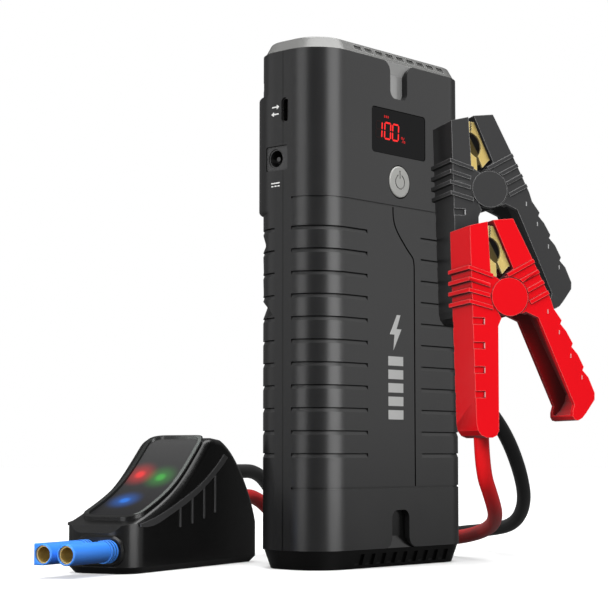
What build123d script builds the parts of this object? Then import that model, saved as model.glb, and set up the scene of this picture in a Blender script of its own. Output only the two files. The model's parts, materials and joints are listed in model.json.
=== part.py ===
from build123d import *
import os
from math import atan, degrees, pi, radians, tan

# Jump starter pack with its clamp leads.
# Frame: millimetres, +Z up, origin at the middle of the pack's base.  X is the pack's width,
# Y its depth with the front face at -Y.  The lead module stands to the left of the pack, the
# two clamps lean in front of its right half, and the two cables run behind it on the floor.

os.makedirs("parts", exist_ok=True)

# ---------------------------------------------------------------- driving dimensions
HEIGHT, WIDTH, DEPTH = 190.0, 88.8, 35.4      # pack, without the side pad
CORNER = 14.3                                 # plan radius of the pack's corners
BASE_H, CAP_H = 6.8, 4.4                      # black base and silver cap
WALL, END_WALL = 2.4, 2.0
SHELL_TOP = HEIGHT - CAP_H
SHELL_H = SHELL_TOP - BASE_H
FRONT, SIDE = -DEPTH / 2, WIDTH / 2
SLOPE_INSET = 0.5                             # cap and base start this far inside the shells
LEAN = 2.4                                    # and lean in by this much more

SHINGLES, SHINGLE_PITCH, SHINGLE_TOP = 11, 8.06, 120.7
SHINGLE_H, SHINGLE_D = 1.6, 0.6               # each groove: sharp upper edge, running out below
SHINGLE_SIDE, SHINGLE_LEFT, SHINGLE_RIGHT = 4.0, -18.5, 12.5
LINE_ZS, LINE_H, LINE_D = (131.7, 28.6), 0.7, 0.5

SLOT_HALF, SLOT_H, SLOT_D = 5.0, 13.6, 2.5    # strap slots in the front face, top and bottom
TAB_T, ROOT_H = 1.2, 4.2
RIB_COUNT, RIB_PITCH, RIB_FIRST = 9, 6.1, -21.4

WINDOW_W, WINDOW_H, WINDOW_Z, WINDOW_T = 31.6, 17.0, 159.1, 1.2
BUTTON_R, BUTTON_Z, BUTTON_TRAVEL = 5.9, 141.0, 0.8

USB_C_Y, USB_C_Z = -0.9, 163.8
DC_Y, DC_Z, DC_HOLE_R = 3.9, 146.6, 3.0
DC_PLATE = (3.1, 10.5, 9.0)                   # plate's middle in Y, its width and height
PAD_Z, PAD_R = (127.0, 170.5), 10.6

SOCKET_Z, PIN_PITCH, PIN_R, PIN_ROOT_R = 150.0, 9.2, 2.45, 2.9
COVER_AXIS, COVER_BARREL = (45.0, 8.6), 16.0
USB_A_ZS = (123.0, 107.0)

CELL_COUNT, CELL_T, CELL_W, CELL_H = 4, 5.9, 62.0, 84.0
CELL_Z, CELL_FRONT = 12.0, -11.6
BOARD_Y, BOARD_T = 0.75, 1.6
BOSSES = [(x, z) for x in (-37.6, 37.6) for z in (16.0, 179.0)]       # screw posts of the shells
BOSS_R, BOSS_L, CASE_SCREW_Y, CASE_HEAD_T = 2.8, 13.0, 9.5, 1.6
BASE_SCREWS = [(x, y) for x in (-30.0, 30.0) for y in (-8.0, 8.0)]
FOOT_PITCH, FOOT_L, FOOT_W, FOOT_T = 56.0, 16.0, 4.0, 0.8

CABLE_R = 2.75
STANDING = (Align.CENTER, Align.CENTER, Align.MIN)


def finish(piece, name):
    """Label a finished piece and write its own STEP file."""
    piece.part.label = name
    export_step(piece.part, f"parts/{name}.step")


def outline(inset=0.0):
    """The pack's plan outline, drawn in the sketch that is open."""
    return RectangleRounded(WIDTH - 2 * inset, DEPTH - 2 * inset, CORNER - inset)


# ================================================================ PACK: cutters shared by shells
# A shingle groove all round the body: full outline outside, a tapering one inside.
with BuildPart() as shingle_ring:
    with BuildSketch(Plane.XY):
        outline(-1.0)
    extrude(amount=SHINGLE_H)
    with BuildSketch(Plane.XY):
        outline()
    extrude(amount=SHINGLE_H, taper=degrees(atan(SHINGLE_D / SHINGLE_H)), mode=Mode.SUBTRACT)

# Only these stretches of the ring are cut: front left, front right and both rear corners.
with BuildPart() as shingle_cut:
    add(shingle_ring.part)
    with BuildSketch(Plane.XY):
        with Locations((-40 + SHINGLE_LEFT, FRONT - 3), (40 + SHINGLE_RIGHT, FRONT - 3)):
            Rectangle(80, 2 * (3 - FRONT - SHINGLE_SIDE), align=(Align.CENTER, Align.CENTER))
        with Locations((-40 + SHINGLE_LEFT, -FRONT + 3), (40 - SHINGLE_LEFT, -FRONT + 3)):
            Rectangle(80, 2 * (3 - FRONT - SHINGLE_SIDE), align=(Align.CENTER, Align.CENTER))
    extrude(amount=SHINGLE_H, mode=Mode.INTERSECT)

with BuildPart() as line_cut:
    with BuildSketch(Plane.XY):
        outline(-1.0)
        outline(LINE_D)
    extrude(amount=LINE_H)
    with BuildSketch(Plane.XY):
        outline(LINE_D)
    extrude(amount=LINE_H, mode=Mode.SUBTRACT)
    with BuildSketch(Plane.XY):
        with Locations((0, FRONT - 3)):
            Rectangle(120, 2 * (3 - FRONT - SHINGLE_SIDE))
    extrude(amount=LINE_H, mode=Mode.INTERSECT)

face_plane = Plane.XZ.offset(-FRONT)          # the front face: x to the right, y up, out is -Y


def slot_shape(top):
    """Strap slot seen from the front: rounded at its end, flaring out where it meets the rim."""
    edge = SHELL_TOP if top else BASE_H
    way = -1 if top else 1
    with BuildSketch(face_plane) as shape:
        with Locations((0, edge + way * SLOT_H / 2)):
            Rectangle(2 * SLOT_HALF, SLOT_H)
        ends = shape.vertices().group_by(Axis.Y)[0 if top else -1]
        fillet(ends, 3.0)
        with Locations((0, edge - way * 1.0)):
            Rectangle(6 * SLOT_HALF, 2.0)
        mouth = [v for v in shape.vertices() if abs(abs(v.X) - SLOT_HALF) < 0.01
                 and abs(v.Y - edge) < 0.01]
        fillet(mouth, 4.0)
        with Locations((0, edge - way * 1.0)):
            Rectangle(8 * SLOT_HALF, 2.0, mode=Mode.SUBTRACT)
    return shape.sketch


slot_shapes = [slot_shape(True), slot_shape(False)]


# Pad that squares off the rear left corner beside the ports.
with BuildPart() as side_pad:
    with BuildSketch(Plane.XY.offset(PAD_Z[0])) as pad:
        with Locations((-SIDE + 10, DEPTH / 4)):
            Rectangle(20, DEPTH / 2)
        fillet(pad.vertices().group_by(Axis.X)[0].sort_by(Axis.Y)[-1], PAD_R)
    extrude(amount=PAD_Z[1] - PAD_Z[0])
    ends = side_pad.faces().filter_by(Axis.Z).edges()
    fillet(ends.filter_by(lambda e: e.center().X < -SIDE + 8), 1.6)


def shell_body(front):
    """One half of the hollow body, split at the seam."""
    with BuildPart() as body:
        with BuildSketch(Plane.XY.offset(BASE_H)):
            outline()
        extrude(amount=SHELL_H)
        if not front:
            # Pad that squares off the rear left corner beside the ports.
            add(side_pad.part)
        # Raised pad round the jump socket on the right side.
        with BuildSketch(Plane.YZ.offset(30)):
            with Locations((0.9, SOCKET_Z)):
                RectangleRounded(18.6, 33, 4)
        extrude(amount=SIDE + 0.5 - 30)
        with BuildSketch(Plane.XY.offset(BASE_H + END_WALL)):
            outline(WALL)
        extrude(amount=SHELL_H - 2 * END_WALL, mode=Mode.SUBTRACT)
        split(bisect_by=Plane.XZ, keep=Keep.TOP if front else Keep.BOTTOM)
    return body.part


# Openings for the parts that look out of the sides and the top.
with BuildPart() as port_cut:
    # USB-C slot and DC plate on the left
    with BuildSketch(Plane.YZ.offset(-SIDE - 1)):
        with Locations((USB_C_Y, USB_C_Z)):
            SlotOverall(9.1, 3.4, rotation=90)
        with Locations((DC_PLATE[0], DC_Z)):
            RectangleRounded(DC_PLATE[1], DC_PLATE[2], 0.8)
    extrude(amount=6)
    # jump socket mouth, cover recess and cover hinge groove on the right
    with BuildSketch(Plane.YZ.offset(SIDE - 6)):
        with Locations((0, SOCKET_Z)):
            RectangleRounded(11.0, 21.0, 2.0)
        with Locations(*[(0, z) for z in USB_A_ZS]):
            RectangleRounded(5.8, 13.4, 0.6)
    extrude(amount=8)
    with BuildSketch(Plane.YZ.offset(SIDE - 0.8)):
        with Locations((-0.4, SOCKET_Z)):
            Rectangle(15.4, 26.0)
    extrude(amount=3)
    with BuildSketch(Plane.XY.offset(SOCKET_Z - COVER_BARREL / 2 - 0.4)):
        with Locations(COVER_AXIS):
            Rectangle(4.2, 4.2)
    extrude(amount=COVER_BARREL + 0.8)
    # torch well in the top wall
    with BuildSketch(Plane.XY.offset(SHELL_TOP - END_WALL)):
        RectangleRounded(27, 11, 2)
    extrude(amount=END_WALL)

shingle_places = [(0, 0, SHINGLE_TOP - SHINGLE_H / 2 - i * SHINGLE_PITCH) for i in range(SHINGLES)]


# ---------------------------------------------------------------- front shell
with BuildPart() as front_shell:
    add(shell_body(front=True))
    with Locations(*shingle_places):
        add(shingle_cut.part, mode=Mode.SUBTRACT)
    with Locations(*[(0, 0, z - LINE_H / 2) for z in LINE_ZS]):
        add(line_cut.part, mode=Mode.SUBTRACT)
    # the S-shaped line that runs down the right of the centre
    with BuildSketch(face_plane.offset(0.2)):
        with BuildLine() as s_curve:
            bend = Spline((-3.8, 131.4), (-3.0, 125.2), (1.3, 119.4), (6.6, 114.4), (8.6, 109.0),
                          tangents=[(0, -1), (0, -1)])
            Line(bend @ 1, (8.6, 28.6))
        trace(line_width=0.7)
    extrude(amount=-(0.2 + LINE_D), mode=Mode.SUBTRACT)
    # strap slots, through to the back of the tabs
    for shape in slot_shapes:
        extrude(shape, amount=-(SLOT_D + TAB_T), mode=Mode.SUBTRACT)
    # display window: a ledge, then a through opening
    with BuildSketch(face_plane):
        with Locations((0, WINDOW_Z)):
            RectangleRounded(WINDOW_W, WINDOW_H, 1.4)
    extrude(amount=-WINDOW_T, mode=Mode.SUBTRACT)
    with BuildSketch(face_plane):
        with Locations((0, WINDOW_Z)):
            Rectangle(WINDOW_W - 4, WINDOW_H - 4)
        with Locations((0, BUTTON_Z)):
            Circle(BUTTON_R + 0.35)
    extrude(amount=-4, mode=Mode.SUBTRACT)
    add(port_cut.part, mode=Mode.SUBTRACT)
    # screw posts
    with BuildSketch(Plane.XZ.offset(0.2)):
        with Locations(*BOSSES):
            Circle(BOSS_R)
            Circle(1.25, mode=Mode.SUBTRACT)
    extrude(amount=BOSS_L - 0.2)
finish(front_shell, "front_shell")

# ---------------------------------------------------------------- rear shell
with BuildPart() as rear_shell:
    add(shell_body(front=False))
    # lugs that hold the cover's hinge pin
    with BuildSketch(Plane.XY.offset(SOCKET_Z - 12)):
        with Locations(COVER_AXIS):
            Circle(1.4)
        with Locations((COVER_AXIS[0] - 1.4, COVER_AXIS[1])):
            Rectangle(2.8, 2.8)
    extrude(amount=24)
    with Locations(*shingle_places):
        add(shingle_cut.part, mode=Mode.SUBTRACT)
    add(port_cut.part, mode=Mode.SUBTRACT)
    with BuildSketch(Plane.XY.offset(SOCKET_Z - 11)):
        with Locations(COVER_AXIS):
            Circle(0.6)
    extrude(amount=22, mode=Mode.SUBTRACT)
    # finger notch in the left rear corner
    with BuildSketch(Plane.XY.offset(173.0)):
        with Locations((-41.6, 14.9)):
            Circle(3.0)
    extrude(amount=3.4, mode=Mode.SUBTRACT)
    with BuildSketch(Plane.XZ):
        with Locations(*BOSSES):
            Circle(BOSS_R)
    extrude(amount=-BOSS_L)
    # deep screw holes from the back, with a seat for each head
    with Locations(*[Plane(origin=(x, CASE_SCREW_Y, z), z_dir=(0, 1, 0)) for x, z in BOSSES]):
        CounterBoreHole(radius=1.35, counter_bore_radius=2.3, counter_bore_depth=CASE_HEAD_T, depth=12)
        Cylinder(2.3, 12, align=STANDING, mode=Mode.SUBTRACT)
finish(rear_shell, "rear_shell")

# ================================================================ PACK: caps, window, button


def cap_notches(z_mid, height, top):
    """Row of shallow recesses along the sloping front of a cap."""
    lean = degrees(atan(LEAN / (CAP_H if top else BASE_H)))
    face = Plane(origin=(0, FRONT + SLOPE_INSET + LEAN / 2, z_mid), x_dir=(1, 0, 0), z_dir=(0, -1, 0))
    face = face.rotated((-lean if top else lean, 0, 0))
    with BuildPart() as cut:
        with BuildSketch(face.offset(1.0)):
            with Locations(*[(RIB_FIRST + i * RIB_PITCH, 0) for i in range(RIB_COUNT)]):
                Rectangle(RIB_PITCH - 1.7, height)
        extrude(amount=-1.9)
    return cut.part


def tab_root(shape, edge, way):
    """The tab's sloping root, which fills the flared mouth of its slot."""
    with BuildPart() as root:
        with BuildSketch(Plane.YZ.offset(-3 * SLOT_HALF)):
            with BuildLine():
                Polyline((FRONT + SLOPE_INSET, edge), (FRONT + SLOT_D, edge + way * ROOT_H),
                         (FRONT + SLOT_D + TAB_T, edge + way * ROOT_H), (FRONT + SLOT_D + TAB_T, edge),
                         close=True)
            make_face()
        extrude(amount=6 * SLOT_HALF)
        extrude(shape, amount=-(SLOT_D + TAB_T), mode=Mode.INTERSECT)
    return root.part


# ---------------------------------------------------------------- top cap, silver
with BuildPart() as top_cap:
    with BuildSketch(Plane.XY.offset(SHELL_TOP)):
        outline(SLOPE_INSET)
    extrude(amount=CAP_H, taper=degrees(atan(LEAN / CAP_H)))
    fillet(top_cap.faces().sort_by(Axis.Z)[-1].edges(), 0.8)
    with BuildSketch(Plane.XY.offset(SHELL_TOP)):
        outline(6.0)
    extrude(amount=CAP_H - 1.8, mode=Mode.SUBTRACT)
    add(cap_notches(SHELL_TOP + 2.5, 2.1, True), mode=Mode.SUBTRACT)
    with BuildSketch(Plane.XY.offset(SHELL_TOP)):
        RectangleRounded(25.4, 9.4, 2)
    extrude(amount=CAP_H, mode=Mode.SUBTRACT)
    extrude(slot_shapes[0].moved(Location((0, SLOT_D, 0))), amount=-TAB_T)
    add(tab_root(slot_shapes[0], SHELL_TOP, -1))
finish(top_cap, "top_cap")

# ---------------------------------------------------------------- bottom cap, black
with BuildPart() as bottom_cap:
    with BuildSketch(Plane.XY.offset(BASE_H)):
        outline(SLOPE_INSET)
    extrude(amount=-BASE_H, taper=degrees(atan(LEAN / BASE_H)))
    fillet(bottom_cap.faces().sort_by(Axis.Z)[0].edges(), 0.5)
    with BuildSketch(Plane.XY.offset(BASE_H)):
        outline(6.0)
    extrude(amount=-(BASE_H - 2.4), mode=Mode.SUBTRACT)
    add(cap_notches(3.2, 4.2, False), mode=Mode.SUBTRACT)
    extrude(slot_shapes[1].moved(Location((0, SLOT_D, 0))), amount=-TAB_T)
    add(tab_root(slot_shapes[1], BASE_H, 1))
    # screw holes and shallow seats for the rubber feet
    with Locations(*[Plane(origin=(x, y, 0), z_dir=(0, 0, -1)) for x, y in BASE_SCREWS]):
        Hole(radius=1.6, depth=BASE_H)
    with BuildSketch(Plane.XY):
        with Locations((-FOOT_PITCH / 2, 0), (FOOT_PITCH / 2, 0)):
            SlotOverall(FOOT_L, FOOT_W)
    extrude(amount=FOOT_T, mode=Mode.SUBTRACT)
finish(bottom_cap, "bottom_cap")

# ---------------------------------------------------------------- rubber feet
with BuildPart() as rubber_feet:
    with BuildSketch(Plane.XY):
        with Locations((-FOOT_PITCH / 2, 0), (FOOT_PITCH / 2, 0)):
            SlotOverall(FOOT_L, FOOT_W)
    extrude(amount=FOOT_T)
finish(rubber_feet, "rubber_feet")

# ---------------------------------------------------------------- display window
with BuildPart() as display_window:
    with BuildSketch(face_plane.offset(-0.15)):
        with Locations((0, WINDOW_Z)):
            RectangleRounded(WINDOW_W - 0.2, WINDOW_H - 0.2, 1.3)
    extrude(amount=-(WINDOW_T - 0.15))
    chamfer(display_window.faces().sort_by(Axis.Y)[0].edges(), 0.15)
finish(display_window, "display_window")

# ---------------------------------------------------------------- display module behind it
SEGMENT_L, SEGMENT_W, SEGMENT_BAR, DIGIT_PITCH, DIGITS_X = 3.4, 0.8, 2.4, 6.0, -2.0
DISPLAY_BACK, DISPLAY_T = 2.6, 3.2            # from the front face to the module, and its thickness
digit_xs = [DIGITS_X + step * DIGIT_PITCH for step in (-1, 0, 1)]
with BuildPart() as display_module:
    with BuildSketch(face_plane.offset(-DISPLAY_BACK)):
        with Locations((0, WINDOW_Z)):
            Rectangle(WINDOW_W - 4.6, WINDOW_H - 4.6)
    extrude(amount=-DISPLAY_T)
    with BuildSketch(face_plane.offset(-DISPLAY_BACK)):
        with Locations(*[(x, WINDOW_Z + level * SEGMENT_L) for x in digit_xs for level in (-1, 0, 1)]):
            Rectangle(SEGMENT_BAR, SEGMENT_W)
        with Locations(*[(x + side * SEGMENT_L / 2, WINDOW_Z + half * SEGMENT_L / 2)
                         for x in digit_xs for side in (-1, 1) for half in (-1, 1)]):
            Rectangle(SEGMENT_W, SEGMENT_BAR)
    extrude(amount=0.4)
finish(display_module, "display_module")

# ---------------------------------------------------------------- power button
BUTTON_FLANGE_Y = FRONT + WALL + 0.35
with BuildPart() as power_button:
    with BuildSketch(Plane.XZ.offset(-BUTTON_FLANGE_Y)):
        with Locations((0, BUTTON_Z)):
            Circle(BUTTON_R)
    extrude(amount=BUTTON_FLANGE_Y - FRONT + 0.35)
    fillet(power_button.edges().filter_by(GeomType.CIRCLE).sort_by(Axis.Y)[0], 0.5)
    with BuildSketch(Plane.XZ.offset(-BUTTON_FLANGE_Y)):
        with Locations((0, BUTTON_Z)):
            Circle(BUTTON_R + 1.2)
    extrude(amount=-0.8)
    with BuildSketch(Plane.XZ.offset(-BUTTON_FLANGE_Y - 0.8)):
        with Locations((0, BUTTON_Z)):
            Circle(1.6)
    extrude(amount=-2.0)
    # engraved power sign: an open ring and a bar
    with BuildSketch(Plane.XZ.offset(-FRONT + 0.4)):
        with Locations((0, BUTTON_Z)):
            Circle(2.9)
            Circle(2.3, mode=Mode.SUBTRACT)
            with Locations((0, 2.8)):
                Rectangle(1.9, 2.4, mode=Mode.SUBTRACT)
                Rectangle(0.65, 3.0)
    extrude(amount=-0.35, mode=Mode.SUBTRACT)
finish(power_button, "power_button")

# ---------------------------------------------------------------- switch under the button
BUTTON_STEM_Y = BUTTON_FLANGE_Y + 0.8 + 2.0
with BuildPart() as button_switch:
    with BuildSketch(Plane.XZ.offset(-(BUTTON_STEM_Y + BUTTON_TRAVEL + 0.4))):
        with Locations((0, BUTTON_Z)):
            Circle(1.7)
    extrude(amount=-1.2)
    with BuildSketch(Plane.XZ.offset(-(BUTTON_STEM_Y + BUTTON_TRAVEL + 1.6))):
        with Locations((0, BUTTON_Z)):
            RectangleRounded(6.2, 6.2, 0.5)
    extrude(amount=-3.4)
finish(button_switch, "button_switch")
SWITCH_BACK_Y = BUTTON_STEM_Y + BUTTON_TRAVEL + 1.6 + 3.4

# ---------------------------------------------------------------- front board: display and switch
FRONT_BOARD_T = 1.2
with BuildPart() as front_board:
    with BuildSketch(Plane.XZ.offset(-SWITCH_BACK_Y)):
        with Locations((0, 151.0)):
            RectangleRounded(34, 34, 1)
    extrude(amount=-FRONT_BOARD_T)
    # block that carries the display module
    with BuildSketch(Plane.XZ.offset(-SWITCH_BACK_Y)):
        with Locations((0, WINDOW_Z)):
            Rectangle(20, 8)
    extrude(amount=SWITCH_BACK_Y - (FRONT + DISPLAY_BACK + DISPLAY_T))
finish(front_board, "front_board")

# ================================================================ PACK: inside
# ---------------------------------------------------------------- pouch cells
CELL_GAP = 0.3
cell_ys = [CELL_FRONT + CELL_T / 2 + i * (CELL_T + CELL_GAP) for i in range(CELL_COUNT)]
CELL_BACK = cell_ys[-1] + CELL_T / 2
CELL_MIDDLE, CELL_TOP = (CELL_FRONT + CELL_BACK) / 2, CELL_Z + CELL_H
with BuildPart() as battery_cells:
    with Locations(*[(0, y, CELL_Z + CELL_H / 2) for y in cell_ys]):
        Box(CELL_W, CELL_T, CELL_H)
    fillet(battery_cells.edges().filter_by(Axis.Z), 1.2)
finish(battery_cells, "battery_cells")

# ---------------------------------------------------------------- cell tray
with BuildPart() as cell_tray:
    with Locations((0, CELL_MIDDLE, CELL_Z - 2.0)):
        Box(CELL_W + 4, CELL_BACK - CELL_FRONT + 2, CELL_H + 2, align=STANDING)
    with Locations((0, CELL_MIDDLE, CELL_Z - 0.1)):
        Box(CELL_W + 0.3, CELL_BACK - CELL_FRONT + 4, CELL_H + 4, align=STANDING, mode=Mode.SUBTRACT)
finish(cell_tray, "cell_tray")

# ---------------------------------------------------------------- tabs and bus bars over the cells
TAB_XS, CELL_TAB_H, BUS_T = (-18.0, 18.0), 2.0, 0.6
BUS_JOINS = [(TAB_XS[0], 0), (TAB_XS[0], 2), (TAB_XS[1], 1)]         # side, and the first cell of the pair
with BuildPart() as bus_bars:
    with Locations(*[(x, y, CELL_TOP + CELL_TAB_H / 2) for y in cell_ys for x in TAB_XS]):
        Box(8, 0.4, CELL_TAB_H)
    with Locations(*[(x, (cell_ys[i] + cell_ys[i + 1]) / 2, CELL_TOP + CELL_TAB_H + BUS_T / 2)
                     for x, i in BUS_JOINS]):
        Box(8, CELL_T + 0.7, BUS_T)
finish(bus_bars, "bus_bars")

# ---------------------------------------------------------------- foam pad behind the cells
with BuildPart() as foam_pad:
    with BuildSketch(Plane.XZ.offset(-(CELL_BACK + 0.1))):
        with Locations((0, CELL_Z + CELL_H / 2)):
            RectangleRounded(50, 70, 3)
    extrude(amount=-1.2)
finish(foam_pad, "foam_pad")

# ---------------------------------------------------------------- main board
BOARD_Z0, BOARD_Z1 = 100.0, 171.5
with BuildPart() as main_board:
    with BuildSketch(Plane.XZ.offset(-BOARD_Y)):
        with Locations((-8.5, (BOARD_Z0 + BOARD_Z1) / 2)):
            Rectangle(61, BOARD_Z1 - BOARD_Z0)
        with Locations((-36, DC_Z)):
            Rectangle(14, 12, mode=Mode.SUBTRACT)
    extrude(amount=-BOARD_T)
    # inductors, capacitors and the controller on its rear face
    with BuildSketch(Plane.XZ.offset(-(BOARD_Y + BOARD_T))):
        with Locations((-14, 112), (4, 112)):
            RectangleRounded(12, 12, 1.5)
    extrude(amount=-5.5)
    with BuildSketch(Plane.XZ.offset(-(BOARD_Y + BOARD_T))):
        with Locations(*[(x, 130) for x in (-18, -6, 6)]):
            Circle(4.0)
    extrude(amount=-8.0)
    with BuildSketch(Plane.XZ.offset(-(BOARD_Y + BOARD_T))):
        with Locations((-8, 152)):
            Rectangle(14, 14)
    extrude(amount=-1.6)
finish(main_board, "main_board")

# ---------------------------------------------------------------- USB-C socket, left side
with BuildPart() as usb_c_socket:
    with BuildSketch(Plane.YZ.offset(-SIDE + 0.6)):
        with Locations((USB_C_Y, USB_C_Z)):
            SlotOverall(8.9, 3.2, rotation=90)
            SlotOverall(8.3, 2.6, rotation=90, mode=Mode.SUBTRACT)
    extrude(amount=6.8)
    with BuildSketch(Plane.YZ.offset(-SIDE + 7.4)):
        with Locations((USB_C_Y, USB_C_Z)):
            SlotOverall(8.9, 3.2, rotation=90)
    extrude(amount=0.5)
finish(usb_c_socket, "usb_c_socket")

with BuildPart() as usb_c_tongue:
    with BuildSketch(Plane.YZ.offset(-SIDE + 1.6)):
        with Locations((USB_C_Y, USB_C_Z)):
            Rectangle(0.7, 6.6)
    extrude(amount=5.8)
    fillet(usb_c_tongue.faces().sort_by(Axis.X)[0].edges().filter_by(Axis.Z), 0.25)
finish(usb_c_tongue, "usb_c_tongue")

# ---------------------------------------------------------------- DC jack, left side
with BuildPart() as dc_jack:
    with BuildSketch(Plane.YZ.offset(-SIDE + 0.5)):
        with Locations((DC_PLATE[0], DC_Z)):
            RectangleRounded(DC_PLATE[1] - 0.1, DC_PLATE[2] - 0.1, 0.75)
    extrude(amount=11.5)
    with BuildSketch(Plane.YZ.offset(-SIDE + 0.5)):
        with Locations((DC_Y, DC_Z)):
            Circle(DC_HOLE_R)
    extrude(amount=9.5, mode=Mode.SUBTRACT)
    with BuildSketch(Plane.YZ.offset(-SIDE + 0.5)):
        with Locations((DC_Y, DC_Z)):
            Circle(DC_HOLE_R + 0.5)
    extrude(amount=0.4, mode=Mode.SUBTRACT)
finish(dc_jack, "dc_jack")

with BuildPart() as dc_jack_pin:
    with BuildSketch(Plane.YZ.offset(-SIDE + 1.8)):
        with Locations((DC_Y, DC_Z)):
            Circle(1.05)
    extrude(amount=8.2)
    fillet(dc_jack_pin.edges().filter_by(GeomType.CIRCLE).sort_by(Axis.X)[0], 0.5)
finish(dc_jack_pin, "dc_jack_pin")

# ---------------------------------------------------------------- jump socket, right side
SOCKET_FACE, SOCKET_BACK, SOCKET_DEPTH = SIDE - 2.0, SIDE - 20.0, 15.0
pin_places = [(0, SOCKET_Z + s * PIN_PITCH / 2) for s in (-1, 1)]
with BuildPart() as jump_socket:
    with BuildSketch(Plane.YZ.offset(SOCKET_BACK)):
        with Locations((0, SOCKET_Z)):
            RectangleRounded(10.8, 20.8, 1.9)
    extrude(amount=SOCKET_FACE - SOCKET_BACK)
    with BuildSketch(Plane.YZ.offset(SOCKET_BACK)):
        with Locations((0, SOCKET_Z)):
            Rectangle(10.8, 27)
    extrude(amount=3.0)
    with BuildSketch(Plane.YZ.offset(SOCKET_FACE)):
        with Locations(*pin_places):
            Circle(3.9)
        with Locations(pin_places[1]):
            with Locations((0, 1.95)):
                Rectangle(7.8, 3.9)
    extrude(amount=-SOCKET_DEPTH, mode=Mode.SUBTRACT)
    with BuildSketch(Plane.YZ.offset(SOCKET_BACK)):
        with Locations(*pin_places):
            Circle(PIN_ROOT_R)
    extrude(amount=SOCKET_FACE - SOCKET_DEPTH - SOCKET_BACK, mode=Mode.SUBTRACT)
finish(jump_socket, "jump_socket")

with BuildPart() as jump_socket_pins:
    with BuildSketch(Plane.YZ.offset(SOCKET_FACE - SOCKET_DEPTH)):
        with Locations(*pin_places):
            Circle(PIN_R)
    extrude(amount=SOCKET_DEPTH - 1.5)
    chamfer(jump_socket_pins.faces().filter_by(Axis.X).group_by(Axis.X)[-1].edges(), 0.5)
    # thicker roots pressed into the socket's floor
    with BuildSketch(Plane.YZ.offset(SOCKET_FACE - SOCKET_DEPTH)):
        with Locations(*pin_places):
            Circle(PIN_ROOT_R)
    extrude(amount=-(SOCKET_FACE - SOCKET_DEPTH - SOCKET_BACK + 2))
finish(jump_socket_pins, "jump_socket_pins")

# ---------------------------------------------------------------- hinged rubber cover and its pin
with BuildPart() as jump_socket_cover:
    with BuildSketch(Plane.YZ.offset(SIDE - 0.4)):
        with Locations((-0.4, SOCKET_Z)):
            RectangleRounded(14.4, 25.2, 1.5)
    extrude(amount=1.7)
    fillet(jump_socket_cover.faces().sort_by(Axis.X)[-1].edges(), 0.5)
    with BuildSketch(Plane.XY.offset(SOCKET_Z - COVER_BARREL / 2)):
        with Locations(COVER_AXIS):
            Circle(1.25)
        with Locations((COVER_AXIS[0] + 0.1, COVER_AXIS[1] - 1.2)):
            Rectangle(1.3, 2.4)
    extrude(amount=COVER_BARREL)
    # plug ribs that press into the socket's mouth, and a finger lip at the front edge
    with BuildSketch(Plane.YZ.offset(SIDE - 0.4)):
        with Locations(*pin_places):
            Circle(3.3)
            Circle(2.75, mode=Mode.SUBTRACT)
    extrude(amount=-2.6)
    with BuildSketch(Plane.YZ.offset(SIDE + 1.3)):
        with Locations((-6.4, SOCKET_Z)):
            RectangleRounded(1.4, 10, 0.5)
    extrude(amount=0.5)
    with BuildSketch(Plane.XY.offset(SOCKET_Z - COVER_BARREL / 2)):
        with Locations(COVER_AXIS):
            Circle(0.65)
    extrude(amount=COVER_BARREL, mode=Mode.SUBTRACT)
finish(jump_socket_cover, "jump_socket_cover")

with BuildPart() as cover_hinge_pin:
    with BuildSketch(Plane.XY.offset(SOCKET_Z - 11)):
        with Locations(COVER_AXIS):
            Circle(0.6)
    extrude(amount=22)
finish(cover_hinge_pin, "cover_hinge_pin")

# ---------------------------------------------------------------- two USB-A sockets, right side
USB_A_DEPTH = 14.0
with BuildPart() as usb_a_sockets:
    with BuildSketch(Plane.YZ.offset(SIDE - 0.6)):
        with Locations(*[(0, z) for z in USB_A_ZS]):
            RectangleRounded(5.6, 13.2, 0.6)
            Rectangle(5.0, 12.5, mode=Mode.SUBTRACT)
    extrude(amount=-USB_A_DEPTH)
    with BuildSketch(Plane.YZ.offset(SIDE - 0.6 - USB_A_DEPTH)):
        with Locations(*[(0, z) for z in USB_A_ZS]):
            RectangleRounded(5.6, 13.2, 0.6)
    extrude(amount=-0.6)
finish(usb_a_sockets, "usb_a_sockets")

with BuildPart() as usb_a_tongues:
    with BuildSketch(Plane.YZ.offset(SIDE - 0.6 - USB_A_DEPTH)):
        with Locations(*[(1.2, z) for z in USB_A_ZS]):
            Rectangle(1.8, 11.0)
    extrude(amount=USB_A_DEPTH - 2.0)
finish(usb_a_tongues, "usb_a_tongues")

with BuildPart() as side_board:
    with BuildSketch(Plane.XZ.offset(-2.85)):
        with Locations((SIDE - 10.6, sum(USB_A_ZS) / 2)):
            Rectangle(14, 34)
    extrude(amount=-1.6)
finish(side_board, "side_board")

# ---------------------------------------------------------------- torch in the top cap
TORCH_Z = HEIGHT - 2.2
with BuildPart() as torch_lens:
    with BuildSketch(Plane.XY.offset(TORCH_Z)):
        RectangleRounded(25.2, 9.2, 1.9)
    extrude(amount=1.9)
    fillet(torch_lens.faces().sort_by(Axis.Z)[-1].edges(), 0.4)
finish(torch_lens, "torch_lens")

TORCH_XS = (-7.6, 0.0, 7.6)
with BuildPart() as torch_reflector:
    with BuildSketch(Plane.XY.offset(TORCH_Z)):
        RectangleRounded(25.0, 9.0, 1.8)
    extrude(amount=-5.6)
    with Locations(*[(x, 0, TORCH_Z - 2.8) for x in TORCH_XS]):
        Cone(1.6, 3.4, 5.6, mode=Mode.SUBTRACT)
finish(torch_reflector, "torch_reflector")

with BuildPart() as torch_board:
    with BuildSketch(Plane.XY.offset(TORCH_Z - 5.6)):
        RectangleRounded(26.0, 10.0, 1)
    extrude(amount=-1.2)
finish(torch_board, "torch_board")

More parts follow.
